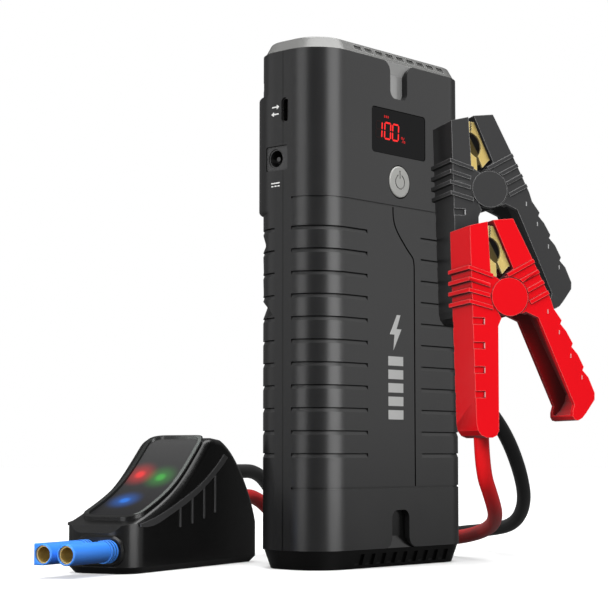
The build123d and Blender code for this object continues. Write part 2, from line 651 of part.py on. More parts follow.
with BuildPart() as torch_leds:
    with BuildSketch(Plane.XY.offset(TORCH_Z - 5.6)):
        with Locations(*[(x, 0) for x in TORCH_XS]):
            Circle(1.3)
    extrude(amount=1.1)
    fillet(torch_leds.faces().filter_by(Axis.Z).group_by(Axis.Z)[-1].edges(), 0.9)
finish(torch_leds, "torch_leds")

# ---------------------------------------------------------------- screws
with BuildPart() as case_screws:
    for x, z in BOSSES:
        seat = Plane(origin=(x, CASE_SCREW_Y - CASE_HEAD_T, z), x_dir=(1, 0, 0), z_dir=(0, 1, 0))
        with BuildSketch(seat):
            Circle(2.2)
            RegularPolygon(0.9, 6, mode=Mode.SUBTRACT)
        extrude(amount=CASE_HEAD_T - 0.1)
        with BuildSketch(seat):
            Circle(1.2)
        extrude(amount=-13)
finish(case_screws, "case_screws")

with BuildPart() as base_screws:
    with BuildSketch(Plane.XY.offset(0.4)):
        with Locations(*BASE_SCREWS):
            Circle(1.55)
            RegularPolygon(0.6, 6, mode=Mode.SUBTRACT)
    extrude(amount=1.4)
    with BuildSketch(Plane.XY.offset(1.8)):
        with Locations(*BASE_SCREWS):
            Circle(0.95)
    extrude(amount=BASE_H - 1.8)
finish(base_screws, "base_screws")

# ================================================================ CABLES: routes
# Each route starts inside its clamp's handle, at the crimped end of the jaw, and ends inside
# its gland on the module's rear wall.
FLOOR_Z = CABLE_R + 0.05
RED_ROUTE = [(5.43, -49.89, 58), (5.43, -49.89, 36), (17.5, -46, 24), (33, -36.5, 17), (48, -22, 12),
             (61, -1, 8), (70, 22, 6), (72, 44, FLOOR_Z), (60, 60, FLOOR_Z), (40, 67, 6), (22, 65.5, 16),
             (6.5, 61.9, 24.2), (-6.7, 58.47, 24.2), (-19.29, 55.24, 24.2)]
BLACK_ROUTE = [(18.53, -32.19, 99.8), (18.53, -32.19, 76), (29, -34, 60), (45, -33, 48), (63, -27, 33),
               (80, -17, 21), (94, -2, 12), (104, 17, 9), (110, 40, 7), (106, 64, FLOOR_Z),
               (88, 79, FLOOR_Z), (64, 83, 5), (44, 79.5, 14), (27, 72, 26), (9, 63.5, 34),
               (-8.83, 57.93, 34), (-25.3, 53.7, 34)]

# ================================================================ LEAD SET: the smart module
MODULE_AT = (-98.45, 19.74, 0.0)               # its near front corner on the floor
MODULE_YAW = 14.4                             # its length turns this much from +X towards +Y
MODULE_L, MODULE_W, MODULE_SEAM = 90.4, 29.4, 7.9
MODULE_WALL, MODULE_EDGE_R = 2.2, 2.5
module_x = Vector(1, 0, 0).rotate(Axis.Z, MODULE_YAW)
module_floor = Plane(origin=MODULE_AT, x_dir=module_x, z_dir=(0, 0, 1))
module_side = Plane(origin=MODULE_AT, x_dir=module_x, z_dir=-module_floor.y_dir)   # x along, y up
module_front = Plane(origin=MODULE_AT, x_dir=module_floor.y_dir, z_dir=module_x)   # x across, y up

# Side profile of the top: front ridge, S-shaped slope, crown and the sloping rear wall.
SLOPE = [(1.2, 17.6), (12.0, 21.2), (21.9, 25.2), (31.1, 30.0), (40.3, 37.0), (48.0, 44.0), (56.0, 47.8)]
REAR = [(61.5, 47.2), (66.6, 44.6), (75.2, 37.1), (81.2, 29.5), (86.2, 20.6), (89.4, 10.9),
        (89.8, MODULE_SEAM)]

PLUG_W, PLUG_V, PLUG_PITCH, PLUG_R, PLUG_L = 7.9, 7.1, 9.2, 3.55, 27.0
plug_places = [(PLUG_V, PLUG_W), (PLUG_V + PLUG_PITCH, PLUG_W)]
CONTACT_BORE_R = 2.5
GLAND_R, GLAND_OUT, GLAND_IN = 4.1, 5.0, 5.0
PANEL_U, PANEL_V, PANEL_CORNER = (7.8, 52.6), (3.6, 24.4), 4.4
PANEL_SINK, PANEL_T, RIM_W = 1.0, 1.2, 1.8
SHOULDER = 1.3                                # the rim stands this much above the shoulders
LED_SPOTS = [(37.0, 20.3, 34.3), (35.8, 10.9, 33.4), (22.2, 17.1, 25.4)]   # along, across, up
MODULE_POSTS = [(u, v) for u in (16.0, 76.0) for v in (5.2, MODULE_W - 5.2)]
FINS = [(55.6, 19.4, 33.0), (47.8, 17.5, 28.8), (39.7, 16.0, 25.0), (31.6, 15.0, 21.8)]   # along, from, to
STRIPE_TOP = [(6.0, 17.0), (23.3, 21.3), (32.5, 24.6), (43.0, 28.8), (51.7, 33.4), (61.7, 40.5)]
STRIPE_UNDER = [(6.0, 16.0), (14.0, 16.2), (23.3, 18.9), (36.2, 23.5), (51.2, 30.5), (57.3, 34.2),
                (64.6, 39.4)]


def module_profile(sink=0.0):
    """The upper shell's side profile, with its top sunk by the given amount."""
    with BuildSketch(module_side) as profile:
        with BuildLine():
            top = Spline(*[(x, y - sink) for x, y in SLOPE], tangents=[(1, 0.3), (1, 0.05)])
            back = Spline(*[(x, y - sink) for x, y in REAR[:-1]])
            Polyline(top @ 0, (0, SLOPE[0][1] - sink - 2.4), (0, MODULE_SEAM), REAR[-1], back @ 1)
            Line(top @ 1, back @ 0)
        make_face()
    return profile.sketch


def module_plan(inset=0.0):
    """The module's plan: straight long sides and well rounded corners."""
    with BuildSketch(module_floor) as plan:
        with Locations((MODULE_L / 2, MODULE_W / 2)):
            Rectangle(MODULE_L - 2 * inset, MODULE_W - 2 * inset)
        fillet(plan.vertices().group_by(Axis.X)[0], 9.0 - inset)
        fillet(plan.vertices().group_by(Axis.X)[-1], 6.0 - inset)
    return plan.sketch


def panel_plan(grow=0.0):
    """The display panel's plan, grown by the given amount."""
    with BuildSketch(module_floor) as plan:
        with Locations((sum(PANEL_U) / 2, sum(PANEL_V) / 2)):
            RectangleRounded(PANEL_U[1] - PANEL_U[0] + 2 * grow, PANEL_V[1] - PANEL_V[0] + 2 * grow,
                             PANEL_CORNER + grow)
    return plan.sketch


def module_layer(plan, top_sink, bottom_sink):
    """A layer that follows the top between two depths, inside the given plan."""
    with BuildPart() as layer:
        extrude(module_profile(top_sink), amount=-MODULE_W)
        extrude(module_profile(bottom_sink), amount=-MODULE_W, mode=Mode.SUBTRACT)
        extrude(plan, amount=60, mode=Mode.INTERSECT)
    return layer.part


def gland_plane(route):
    """Plane at a cable's end in its gland, facing out of the module."""
    return Plane(origin=route[-1], x_dir=module_floor.y_dir, z_dir=module_x)


with BuildPart() as module_hollow:
    extrude(module_profile(4.6), amount=-MODULE_W)
    extrude(module_plan(MODULE_WALL), amount=60, mode=Mode.INTERSECT)

with BuildPart() as plug_hole:
    with BuildSketch(module_front.offset(-3)):
        with Locations(*plug_places):
            Circle(PLUG_R + 0.1)
        with Locations((PLUG_V + PLUG_PITCH / 2, PLUG_W)):
            Rectangle(PLUG_PITCH, 2.7)
        with Locations((PLUG_V + PLUG_PITCH + PLUG_R / 2, PLUG_W)):
            Rectangle(PLUG_R + 0.2, 2 * PLUG_R + 0.2)
    extrude(amount=8)

# ---------------------------------------------------------------- upper shell
with BuildPart() as module_upper_shell:
    extrude(module_profile(SHOULDER), amount=-MODULE_W)
    # rounded long edges, from the front ridge over the crown and down the rear
    sides = [f for f in module_upper_shell.faces() if abs(f.normal_at().dot(module_side.z_dir)) > 0.999]
    fillet([e for f in sides for e in f.edges() if e.length > 4.0 and e.center().Z > MODULE_SEAM + 3.0
            and module_front.to_local_coords(e.center()).Z > 3.0], MODULE_EDGE_R)
    extrude(module_plan(), amount=60, mode=Mode.INTERSECT)
    add(module_layer(panel_plan(RIM_W), 0, SHOULDER + 1.4))
    add(module_layer(panel_plan(), -2, PANEL_SINK + PANEL_T), mode=Mode.SUBTRACT)
    add(module_hollow.part, mode=Mode.SUBTRACT)
    add(plug_hole.part, mode=Mode.SUBTRACT)
    # light wells over the LEDs
    with BuildSketch(module_floor.offset(12)):
        with Locations(*[(u, v) for u, v, up in LED_SPOTS]):
            Circle(2.8)
    extrude(amount=30, mode=Mode.SUBTRACT)
    # curved stripe and thin fins on both sides
    for side, out in ((module_side, 0.5), (module_side.offset(-MODULE_W), -0.5)):
        with BuildSketch(side):
            with BuildLine():
                upper = Spline(*STRIPE_TOP)
                lower = Spline(*STRIPE_UNDER)
                Line(upper @ 0, lower @ 0)
                Line(upper @ 1, lower @ 1)
            make_face()
            for u, low, high in FINS:
                with Locations((u, (low + high) / 2)):
                    Rectangle(0.7, high - low)
        extrude(amount=out)
    for route in (RED_ROUTE, BLACK_ROUTE):
        with BuildSketch(gland_plane(route).offset(-GLAND_IN)):
            Circle(GLAND_R)
        extrude(amount=14, mode=Mode.SUBTRACT)
finish(module_upper_shell, "module_upper_shell")

# ---------------------------------------------------------------- lower shell
with BuildPart() as module_lower_shell:
    extrude(module_plan(), amount=MODULE_SEAM)
    bottom = module_lower_shell.faces().sort_by(Axis.Z)[0]
    chamfer(bottom.edges(), 2.3)
    extrude(module_plan(MODULE_WALL).moved(Location((0, 0, 2.0))), amount=MODULE_SEAM, mode=Mode.SUBTRACT)
    with BuildSketch(module_floor.offset(2.0)):
        with Locations(*MODULE_POSTS):
            Circle(2.6)
    extrude(amount=7.0)
    add(plug_hole.part, mode=Mode.SUBTRACT)
    with BuildSketch(module_floor):
        with Locations(*MODULE_POSTS):
            Circle(2.2)
    extrude(amount=1.6, mode=Mode.SUBTRACT)
    with BuildSketch(module_floor):
        with Locations(*MODULE_POSTS):
            Circle(1.25)
    extrude(amount=12, mode=Mode.SUBTRACT)
finish(module_lower_shell, "module_lower_shell")

# ---------------------------------------------------------------- panel
with BuildPart() as module_panel:
    add(module_layer(panel_plan(-0.1), PANEL_SINK, PANEL_SINK + PANEL_T))
finish(module_panel, "module_panel")

# ---------------------------------------------------------------- LEDs on light pipes
with BuildPart() as module_leds:
    for u, v, up in LED_SPOTS:
        with BuildSketch(module_floor.offset(10.6)):
            with Locations((u, v)):
                Circle(2.4)
        extrude(amount=up - 3.2 - 10.6 - 1.5)
finish(module_leds, "module_leds")

# ---------------------------------------------------------------- board and relays
with BuildPart() as module_board:
    with BuildSketch(module_floor.offset(9.0)):
        with Locations((46, MODULE_W / 2)):
            RectangleRounded(70, MODULE_W - 2 * MODULE_WALL - 0.8, 1)
        with Locations(*MODULE_POSTS):
            Circle(1.25, mode=Mode.SUBTRACT)
    extrude(amount=1.6)
finish(module_board, "module_board")

with BuildPart() as module_relays:
    with BuildSketch(module_floor.offset(10.6)):
        with Locations((54, MODULE_W / 2 - 6.1), (54, MODULE_W / 2 + 6.1)):
            RectangleRounded(20, 11.0, 0.8)
    extrude(amount=15)
    chamfer(module_relays.faces().group_by(Axis.Z)[-1].edges(), 0.5)
finish(module_relays, "module_relays")

with BuildPart() as module_screws:
    with BuildSketch(module_floor.offset(0.4)):
        with Locations(*MODULE_POSTS):
            Circle(2.1)
            RegularPolygon(0.8, 6, mode=Mode.SUBTRACT)
    extrude(amount=1.2)
    with BuildSketch(module_floor.offset(1.6)):
        with Locations(*MODULE_POSTS):
            Circle(1.2)
    extrude(amount=9.4)
finish(module_screws, "module_screws")

# ---------------------------------------------------------------- blue jump plug


def faces_before(piece, along):
    """The piece's faces whose middles lie before the given place along the module."""
    return piece.faces().filter_by(lambda face: module_front.to_local_coords(face.center()).Z < along)


with BuildPart() as jump_plug:
    with BuildSketch(module_front.offset(-PLUG_L)):
        with Locations(*plug_places):
            Circle(PLUG_R)
        with Locations((PLUG_V + PLUG_PITCH + PLUG_R / 2, PLUG_W)):
            Rectangle(PLUG_R, 2 * PLUG_R)
    extrude(amount=PLUG_L + 4)
    with BuildSketch(module_front.offset(-PLUG_L + 5)):
        with Locations((PLUG_V + PLUG_PITCH / 2, PLUG_W)):
            Rectangle(PLUG_PITCH, 2.5)
    extrude(amount=PLUG_L - 1)
    for ring in range(3):
        with BuildSketch(module_front.offset(-3.0 - ring * 1.5)):
            with Locations(*plug_places):
                Circle(PLUG_R + 0.35)
        extrude(amount=0.8)
    with BuildSketch(module_front.offset(4.0)):
        with Locations((PLUG_V + PLUG_PITCH / 2, PLUG_W)):
            Rectangle(14.0, 7.6)
    extrude(amount=4.5)
    chamfer(faces_before(jump_plug, 0.5 - PLUG_L).edges(), 0.3)
    with BuildSketch(module_front.offset(-PLUG_L)):
        with Locations(*plug_places):
            Circle(CONTACT_BORE_R + 0.5)
    extrude(amount=PLUG_L + 10, mode=Mode.SUBTRACT)
finish(jump_plug, "jump_plug")

with BuildPart() as plug_contacts:
    with BuildSketch(module_front.offset(-PLUG_L + 0.8)):
        with Locations(*plug_places):
            Circle(CONTACT_BORE_R + 0.5)
    extrude(amount=PLUG_L + 9)
    with BuildSketch(module_front.offset(-PLUG_L)):
        with Locations(*plug_places):
            Circle(CONTACT_BORE_R)
    extrude(amount=PLUG_L - 4, mode=Mode.SUBTRACT)
finish(plug_contacts, "plug_contacts")

with BuildPart() as plug_collar:
    with BuildSketch(module_front.offset(-1.5)):
        with Locations((PLUG_V + PLUG_PITCH / 2 + 0.4, PLUG_W)):
            RectangleRounded(PLUG_PITCH + 11.0, 10.4, 5.0)
    extrude(amount=1.5)
    chamfer(faces_before(plug_collar, -1.4).edges(), 0.6)
    add(plug_hole.part, mode=Mode.SUBTRACT)
finish(plug_collar, "plug_collar")

# ---------------------------------------------------------------- rubber glands of the two cables
with BuildPart() as cable_glands:
    for route in (RED_ROUTE, BLACK_ROUTE):
        end = gland_plane(route)
        with BuildSketch(end.offset(-GLAND_IN)):
            Circle(GLAND_R)
        extrude(amount=GLAND_IN + GLAND_OUT)
        with BuildSketch(end):
            Circle(CABLE_R + 0.02)
        extrude(amount=GLAND_OUT, mode=Mode.SUBTRACT)
finish(cable_glands, "cable_glands")

# ================================================================ LEAD SET: the clamps
CLAMP_YAW = -32.5
CLAMPS = {"red": (6.3, -62.3, 96.0), "black": (19.4, -44.6, 137.8)}     # pivot, on the near face
clamp_x = Vector(1, 0, 0).rotate(Axis.Z, CLAMP_YAW)
clamp_away = Vector(0, 1, 0).rotate(Axis.Z, CLAMP_YAW)
THICK, CHEEK, DISC_R, PROUD = 20.0, 2.6, 6.8, 0.5
PIVOT_R, EAR_R, EAR_HOLE_R = 1.5, 6.2, 1.56
CABLE_X, CRIMP_BOTTOM = -7.4, -38.0           # cable in the handle, from the pivot

FIXED = [(-14.7, 25.0), (-8.0, 26.6), (-7.0, 8.0), (-3.4, 5.9), (-4.5, -5.1), (-3.1, -7.7), (-4.3, -10.4),
         (-4.4, -47.2), (-5.2, -48.9), (-6.8, -49.7), (-9.0, -49.7), (-11.0, -48.9), (-12.3, -47.2),
         (-12.8, -44.8), (-13.8, -10.0)]
FIXED_POCKET = [(-12.5, 24.1), (-8.5, 25.1), (-8.5, 28), (0, 28), (9, 8), (9, -8), (0, -10), (0, -46.7),
                (-10.3, -46.7), (-11.6, -10.0)]
MOVING_INNER = [(11.0, -7.2), (6.4, -5.2), (2.0, -6.6), (-6.0, -1.0), (-4.5, 5.2), (-1.6, 6.9), (1.6, 10.1)]
MOVING_HEAD = [(-5.9, 27.2), (1.7, 28.0), (8.5, 14.7), (15.8, -0.4)]
MOVING_GRIP = [(16.9, -3.8), (19.9, -7.9), (19.4, -9.2), (21.6, -11.7), (24.1, -16.1), (23.6, -17.3),
               (25.9, -19.9), (28.2, -24.4), (27.7, -25.6), (29.9, -28.0), (32.3, -33.6)]
MOVING_END = [(32.2, -36.1), (28.9, -40.8), (27.4, -42.6), (25.8, -43.5), (24.4, -43.2), (23.7, -42.0),
              (23.7, -40.4), (24.4, -37.9)]
MOVING_POCKET = [(-8, 25.2), (0.6, 25.9), (6.3, 14.2), (13.4, -0.4), (14.6, -4.2), (17.2, -9.4),
                 (29.2, -33.6), (28.6, -36.4), (26.6, -39.6), (24.6, -41.4), (8, -41.4), (3, -9), (-9, 4)]
FIXED_RIBS = [((-14.6, 10.2), (-6.2, 7.3)), ((-14.6, 6.1), (-7.4, 3.9)), ((-14.6, 2.2), (-7.4, 0.3)),
              ((-14.4, -1.8), (-6.4, -4.0))]
MOVING_RIBS = [((9.4, 13.1), 11.5), ((11.2, 9.4), 9.0), ((13.0, 5.7), 8.0), ((14.8, 2.0), 8.0)]
MOVING_RIB_TILT = 28.5
GRIP_STEPS, GRIP_STEP_X, GRIP_STEP_H, GRIP_STEP_D = (-10.0, -18.6, -27.2, -35.8), -9.4, 2.4, 0.45
PIN_INSET, MOVING_WALL, NECK_R, NECK_T, EAR_DEPTH = 0.8, 2.2, 9.6, 5.2, 2.95
NECK = [(0, 0), (-2.5, 5.4), (2.0, 8.6), (8.4, 4.0), (8.8, -3.4), (6.4, -5.2)]
STRAP = [(-11.9, 9), (-10.6, 9), (-10.6, 4), (-8.8, -8), (-8.2, CRIMP_BOTTOM + 12),
         (-7.4, CRIMP_BOTTOM + 12), (-7.4, CRIMP_BOTTOM + 4), (-10.0, CRIMP_BOTTOM + 4), (-10.2, -8), (-11.9, 3)]
JAW_INSET, JAW_T = 2.8, 1.4
SPRING_L, SPRING_R, SPRING_WIRE_R = 7.8, 3.2, 0.45


def make_clamp(colour, pivot):
    """One battery clamp: fixed half with the cable, moving half, two jaws, pin and spring."""
    near = Plane(origin=pivot, x_dir=clamp_x, z_dir=-clamp_away)      # x along, y up; depth is -z
    middle = near.offset(-THICK / 2)
    cable_end = Plane(origin=middle.from_local_coords((CABLE_X, CRIMP_BOTTOM, 0)), z_dir=(0, 0, 1))

    # ---- fixed half
    with BuildPart() as fixed_half:
        with BuildSketch(near):
            with BuildLine():
                Polyline(*FIXED, close=True)
            make_face()
        extrude(amount=-THICK)
        # shallow steps that wrap the grip's outer corner
        with BuildSketch(near.offset(1)):
            with Locations(*[(GRIP_STEP_X, y) for y in GRIP_STEPS]):
                Rectangle(8, GRIP_STEP_H, align=(Align.MAX, Align.MIN))
        extrude(amount=-1 - GRIP_STEP_D, mode=Mode.SUBTRACT)
        with BuildSketch(near.offset(-THICK + GRIP_STEP_D)):
            with Locations(*[(GRIP_STEP_X, y) for y in GRIP_STEPS]):
                Rectangle(8, GRIP_STEP_H, align=(Align.MAX, Align.MIN))
        extrude(amount=-2, mode=Mode.SUBTRACT)
        with BuildSketch(near.offset(PROUD)):
            for (x1, y1), (x2, y2) in FIXED_RIBS:
                with BuildLine():
                    Polyline((x1 - 0.8, y1 + 0.7), (x2, y2 + 0.7), (x2, y2 - 0.7), (x1 - 0.8, y1 - 0.7),
                             close=True)
                make_face()
        extrude(amount=-(THICK + 2 * PROUD))
        with BuildSketch(near.offset(PROUD)):
            Circle(DISC_R)
        extrude(amount=-(THICK + 2 * PROUD))
        with BuildSketch(near.offset(-CHEEK)):
            with BuildLine():
                Polyline(*FIXED_POCKET, close=True)
            make_face()
            Circle(8.0)
        extrude(amount=-(THICK - 2 * CHEEK), mode=Mode.SUBTRACT)
        with BuildSketch(near.offset(-PIN_INSET)):
            Circle(PIVOT_R)
        extrude(amount=-(THICK - 2 * PIN_INSET), mode=Mode.SUBTRACT)
        with BuildSketch(cable_end.offset(-16)):
            Circle(CABLE_R + 0.05)
        extrude(amount=10, mode=Mode.SUBTRACT)
    finish(fixed_half, f"{colour}_clamp_fixed_half")

    # ---- moving half
    with BuildPart() as moving_half:
        with BuildSketch(near):
            with BuildLine():
                Polyline(*MOVING_HEAD, *MOVING_GRIP, *MOVING_END, *MOVING_INNER, close=True)
            make_face()
        extrude(amount=-THICK)
        with BuildSketch(near.offset(PROUD)):
            for (x, y), length in MOVING_RIBS:
                with Locations(Location((x, y, 0), (0, 0, MOVING_RIB_TILT))):
                    Rectangle(length, 1.4, align=(Align.MAX, Align.CENTER))
        extrude(amount=-(THICK + 2 * PROUD))
        with BuildSketch(near.offset(-MOVING_WALL)):
            with BuildLine():
                Polyline(*MOVING_POCKET, close=True)
            make_face()
            Circle(NECK_R)
        extrude(amount=-(THICK - 2 * MOVING_WALL), mode=Mode.SUBTRACT)
        # thicker neck, cut back round the fixed half's discs, with an ear on each side
        for depth in (0, THICK - NECK_T):
            with BuildSketch(near.offset(-depth)):
                with BuildLine():
                    Polyline(*MOVING_HEAD, *MOVING_GRIP, *MOVING_END, *MOVING_INNER, close=True)
                make_face()
                Circle(NECK_R, mode=Mode.INTERSECT)
            extrude(amount=-NECK_T)
        for depth in (-2, THICK - EAR_DEPTH):
            with BuildSketch(near.offset(-depth)):
                Circle(DISC_R + 0.35)
            extrude(amount=-(EAR_DEPTH + 2), mode=Mode.SUBTRACT)
        for depth in (EAR_DEPTH, THICK - NECK_T):
            with BuildSketch(near.offset(-depth)):
                Circle(EAR_R)
                with BuildLine():
                    Polyline(*NECK, close=True)
                make_face()
            extrude(amount=EAR_DEPTH - NECK_T)
        with BuildSketch(near.offset(-1)):
            Circle(EAR_HOLE_R)
        extrude(amount=-(THICK - 2), mode=Mode.SUBTRACT)
    finish(moving_half, f"{colour}_clamp_moving_half")

    # ---- jaws: metal channels with a round eye, a slit and toothed tips
    with BuildPart() as fixed_jaw:
        with BuildSketch(near.offset(-JAW_INSET)):
            with BuildLine():
                Polyline((-6.3, 21.6), (-6.2, 25.6), (-8.2, 25.0), (-12.0, 23.6), (-12.0, 7.4), (-3.6, 7.4),
                         (-3.9, 12.1))
                ThreePointArc((-3.9, 12.1), (-7.3, 16.2), (-6.3, 21.6))
            make_face()
            with Locations(*[(-6.2, 22.3 + i * 0.9) for i in range(4)]):
                Circle(0.28, mode=Mode.SUBTRACT)
            with Locations((-7.4, 24.0)):
                Circle(0.4, mode=Mode.SUBTRACT)
        extrude(amount=-(THICK - 2 * JAW_INSET))
        with BuildSketch(near.offset(-JAW_INSET - JAW_T)):
            with Locations((-12.0 + JAW_T, 16)):
                Rectangle(20, 24, align=(Align.MIN, Align.CENTER))
        extrude(amount=-(THICK - 2 * (JAW_INSET + JAW_T)), mode=Mode.SUBTRACT)
        # strap down to the crimp that holds the cable
        with BuildSketch(middle.offset(2.5)):
            with BuildLine():
                Polyline(*STRAP, close=True)
            make_face()
        extrude(amount=-5)
        with BuildSketch(cable_end):
            Circle(2.4)
        extrude(amount=11)
    finish(fixed_jaw, f"{colour}_clamp_fixed_jaw")

    with BuildPart() as moving_jaw:
        with BuildSketch(near.offset(-JAW_INSET)):
            with BuildLine():
                Polyline((-5.9, 21.4), (-5.9, 25.4), (-1.8, 25.2), (4.6, 13.4), (0.6, 10.8), (-1.5, 8.4),
                         (-3.3, 12.5))
                ThreePointArc((-3.3, 12.5), (-2.3, 17.4), (-5.9, 21.4))
            make_face()
            with Locations(*[(-5.9, 22.75 + i * 0.9) for i in range(3)]):
                Circle(0.28, mode=Mode.SUBTRACT)
        extrude(amount=-(THICK - 2 * JAW_INSET))
        with BuildSketch(near.offset(-JAW_INSET - JAW_T)):
            with BuildLine():
                Polyline((-8, 27), (-4.2, 27), (2.8, 14.0), (2.0, 6), (-8, 6), close=True)
            make_face()
        extrude(amount=-(THICK - 2 * (JAW_INSET + JAW_T)), mode=Mode.SUBTRACT)
    finish(moving_jaw, f"{colour}_clamp_moving_jaw")

    # ---- pivot pin and its coil spring
    with BuildPart() as pivot_pin:
        with BuildSketch(near.offset(-PIN_INSET)):
            Circle(PIVOT_R)
        extrude(amount=-(THICK - 2 * PIN_INSET))
    finish(pivot_pin, f"{colour}_clamp_pivot_pin")

    with BuildPart() as spring:
        with BuildLine():
            turns = Helix(pitch=SPRING_L / 6, height=SPRING_L, radius=SPRING_R,
                          center=middle.offset(-SPRING_L / 2).origin, direction=near.z_dir)
        with BuildSketch(Plane(origin=turns @ 0, z_dir=turns % 0)):
            Circle(SPRING_WIRE_R)
        sweep(path=turns)
    finish(spring, f"{colour}_clamp_spring")


for clamp_colour, clamp_pivot in CLAMPS.items():
    make_clamp(clamp_colour, clamp_pivot)

# ================================================================ CABLES


def bend_radii(points):
    """Each bend as large as its two runs allow."""
    corners = [Vector(*p) for p in points]
    radii = []
    for before, at, after in zip(corners, corners[1:], corners[2:]):
        turn = (at - before).get_angle(after - at)
        radii.append(0.45 * min((at - before).length, (after - at).length) / tan(radians(turn) / 2))
    return radii


def make_cable(points, name):
    radii = bend_radii(points)
    with BuildPart() as cable:
        with BuildLine() as route:
            FilletPolyline(*points, radius=radii)
        start = Vector(*points[1]) - Vector(*points[0])
        with BuildSketch(Plane(origin=points[0], z_dir=start)):
            Circle(CABLE_R)
        sweep(path=route.wires()[0])
    length = route.wires()[0].length
    print(name, "length", round(length, 1), "radii", [round(r, 1) for r in radii],
          "volume ratio", round(cable.part.volume / (length * pi * CABLE_R ** 2), 4))
    finish(cable, name)


make_cable(RED_ROUTE, "red_cable")
make_cable(BLACK_ROUTE, "black_cable")
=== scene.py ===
import json
from math import cos, radians, sin

import bmesh
import bpy
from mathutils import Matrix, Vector

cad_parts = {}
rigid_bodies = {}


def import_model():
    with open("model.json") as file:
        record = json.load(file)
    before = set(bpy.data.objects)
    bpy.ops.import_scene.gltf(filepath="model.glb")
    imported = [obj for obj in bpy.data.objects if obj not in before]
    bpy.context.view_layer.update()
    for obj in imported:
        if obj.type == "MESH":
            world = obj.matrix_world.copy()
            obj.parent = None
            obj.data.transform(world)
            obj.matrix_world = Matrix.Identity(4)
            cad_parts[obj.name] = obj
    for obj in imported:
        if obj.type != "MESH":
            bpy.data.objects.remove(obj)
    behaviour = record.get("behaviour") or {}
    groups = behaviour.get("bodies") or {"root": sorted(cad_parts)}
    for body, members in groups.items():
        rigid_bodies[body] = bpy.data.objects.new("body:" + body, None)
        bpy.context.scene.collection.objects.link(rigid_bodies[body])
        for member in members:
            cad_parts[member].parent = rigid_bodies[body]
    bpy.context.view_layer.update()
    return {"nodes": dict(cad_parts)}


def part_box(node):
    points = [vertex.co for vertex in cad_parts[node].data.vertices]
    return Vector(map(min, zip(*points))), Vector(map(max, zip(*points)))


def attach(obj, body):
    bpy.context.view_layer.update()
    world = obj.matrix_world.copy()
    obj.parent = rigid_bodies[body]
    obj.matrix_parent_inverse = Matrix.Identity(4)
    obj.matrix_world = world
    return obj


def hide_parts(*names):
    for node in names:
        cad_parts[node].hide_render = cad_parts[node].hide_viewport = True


# Jump starter pack with its clamp leads.  The row frame is in metres: X is the pack's width, Y its
# depth with the front face at -Y, Z up, and the origin is at the middle of the pack's base.  Shapes
# are given in millimetres, as in the CAD model, and materials and lights in metres.
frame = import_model()
nodes = frame["nodes"]
MM = 0.001

# ---------------------------------------------------------------- camera
CAMERA_AT = Vector((-0.4909, -0.4122, 0.0399))
CAMERA_YAW, CAMERA_PITCH, CAMERA_LENS = -48.0, 5.07, 101.5
CAMERA_CLIP = 0.05

camera_data = bpy.data.cameras.new("camera")
camera_data.lens = CAMERA_LENS
camera_data.clip_start = CAMERA_CLIP
camera = bpy.data.objects.new("camera", camera_data)
camera.location = CAMERA_AT
camera.rotation_euler = (radians(90 + CAMERA_PITCH), 0, radians(CAMERA_YAW))
bpy.context.scene.collection.objects.link(camera)
bpy.context.scene.camera = camera
bpy.context.scene.view_settings.view_transform = "Standard"

# Level directions towards the camera and to its right, which the lights are placed by.
TO_CAMERA = Vector((sin(radians(CAMERA_YAW)), -cos(radians(CAMERA_YAW)), 0))
TO_RIGHT = Vector((cos(radians(CAMERA_YAW)), sin(radians(CAMERA_YAW)), 0))


# ---------------------------------------------------------------- shader node helpers
def new_material(name):
    """A material with a Principled shader: returns the material, its node tree and the shader."""
    material = bpy.data.materials.new(name)
    material.use_nodes = True
    tree = material.node_tree
    return material, tree, tree.nodes["Principled BSDF"]


def link(tree, source, target):
    tree.links.new(source, target)


def add_node(tree, kind, **settings):
    """A new node; each setting is the value of an input or of one of the node's own options."""
    made = tree.nodes.new(kind)
    for key, value in settings.items():
        if key in made.inputs:
            made.inputs[key].default_value = value
        else:
            setattr(made, key, value)
    return made


def object_place(tree):
    """The point in the object's own coordinates, which on a CAD node are the row frame's."""
    return add_node(tree, "ShaderNodeTexCoord").outputs["Object"]


def object_axes(tree):
    """The same as three outputs, X, Y and Z."""
    parts = add_node(tree, "ShaderNodeSeparateXYZ")
    link(tree, object_place(tree), parts.inputs["Vector"])
    return parts.outputs


def noise(tree, scale, detail=3.0, stretch=(1, 1, 1)):
    """Noise over the object's own coordinates; scale is in cells for each metre."""
    spread = add_node(tree, "ShaderNodeMapping", Scale=stretch)
    made = add_node(tree, "ShaderNodeTexNoise", Scale=scale, Detail=detail)
    link(tree, object_place(tree), spread.inputs["Vector"])
    link(tree, spread.outputs["Vector"], made.inputs["Vector"])
    return made.outputs["Fac"]


def ranged(tree, value, low, high, start=0.0, end=1.0, steps="LINEAR"):
    """The value mapped from start..end to low..high, and held beyond them."""
    made = add_node(tree, "ShaderNodeMapRange", interpolation_type=steps)
    for key, number in (("From Min", start), ("From Max", end), ("To Min", low), ("To Max", high)):
        made.inputs[key].default_value = number
    link(tree, value, made.inputs["Value"])
    return made.outputs["Result"]


def blend_colour(tree, factor, first, second):
    """From the first colour to the second; each is a tuple or another node's output."""
    made = tree.nodes.new("ShaderNodeMix")
    made.data_type = "RGBA"
    for socket, colour in ((6, first), (7, second)):
        if isinstance(colour, tuple):
            made.inputs[socket].default_value = (*colour, 1)
        else:
            link(tree, colour, made.inputs[socket])
    link(tree, factor, made.inputs[0])
    return made.outputs[2]


def arithmetic(tree, operation, *values):
    """One Math node; each value is a number or another node's output."""
    made = add_node(tree, "ShaderNodeMath", operation=operation)
    for socket, value in zip(made.inputs, values):
        if isinstance(value, (int, float)):
            socket.default_value = value
        else:
            link(tree, value, socket)
    return made.outputs["Value"]


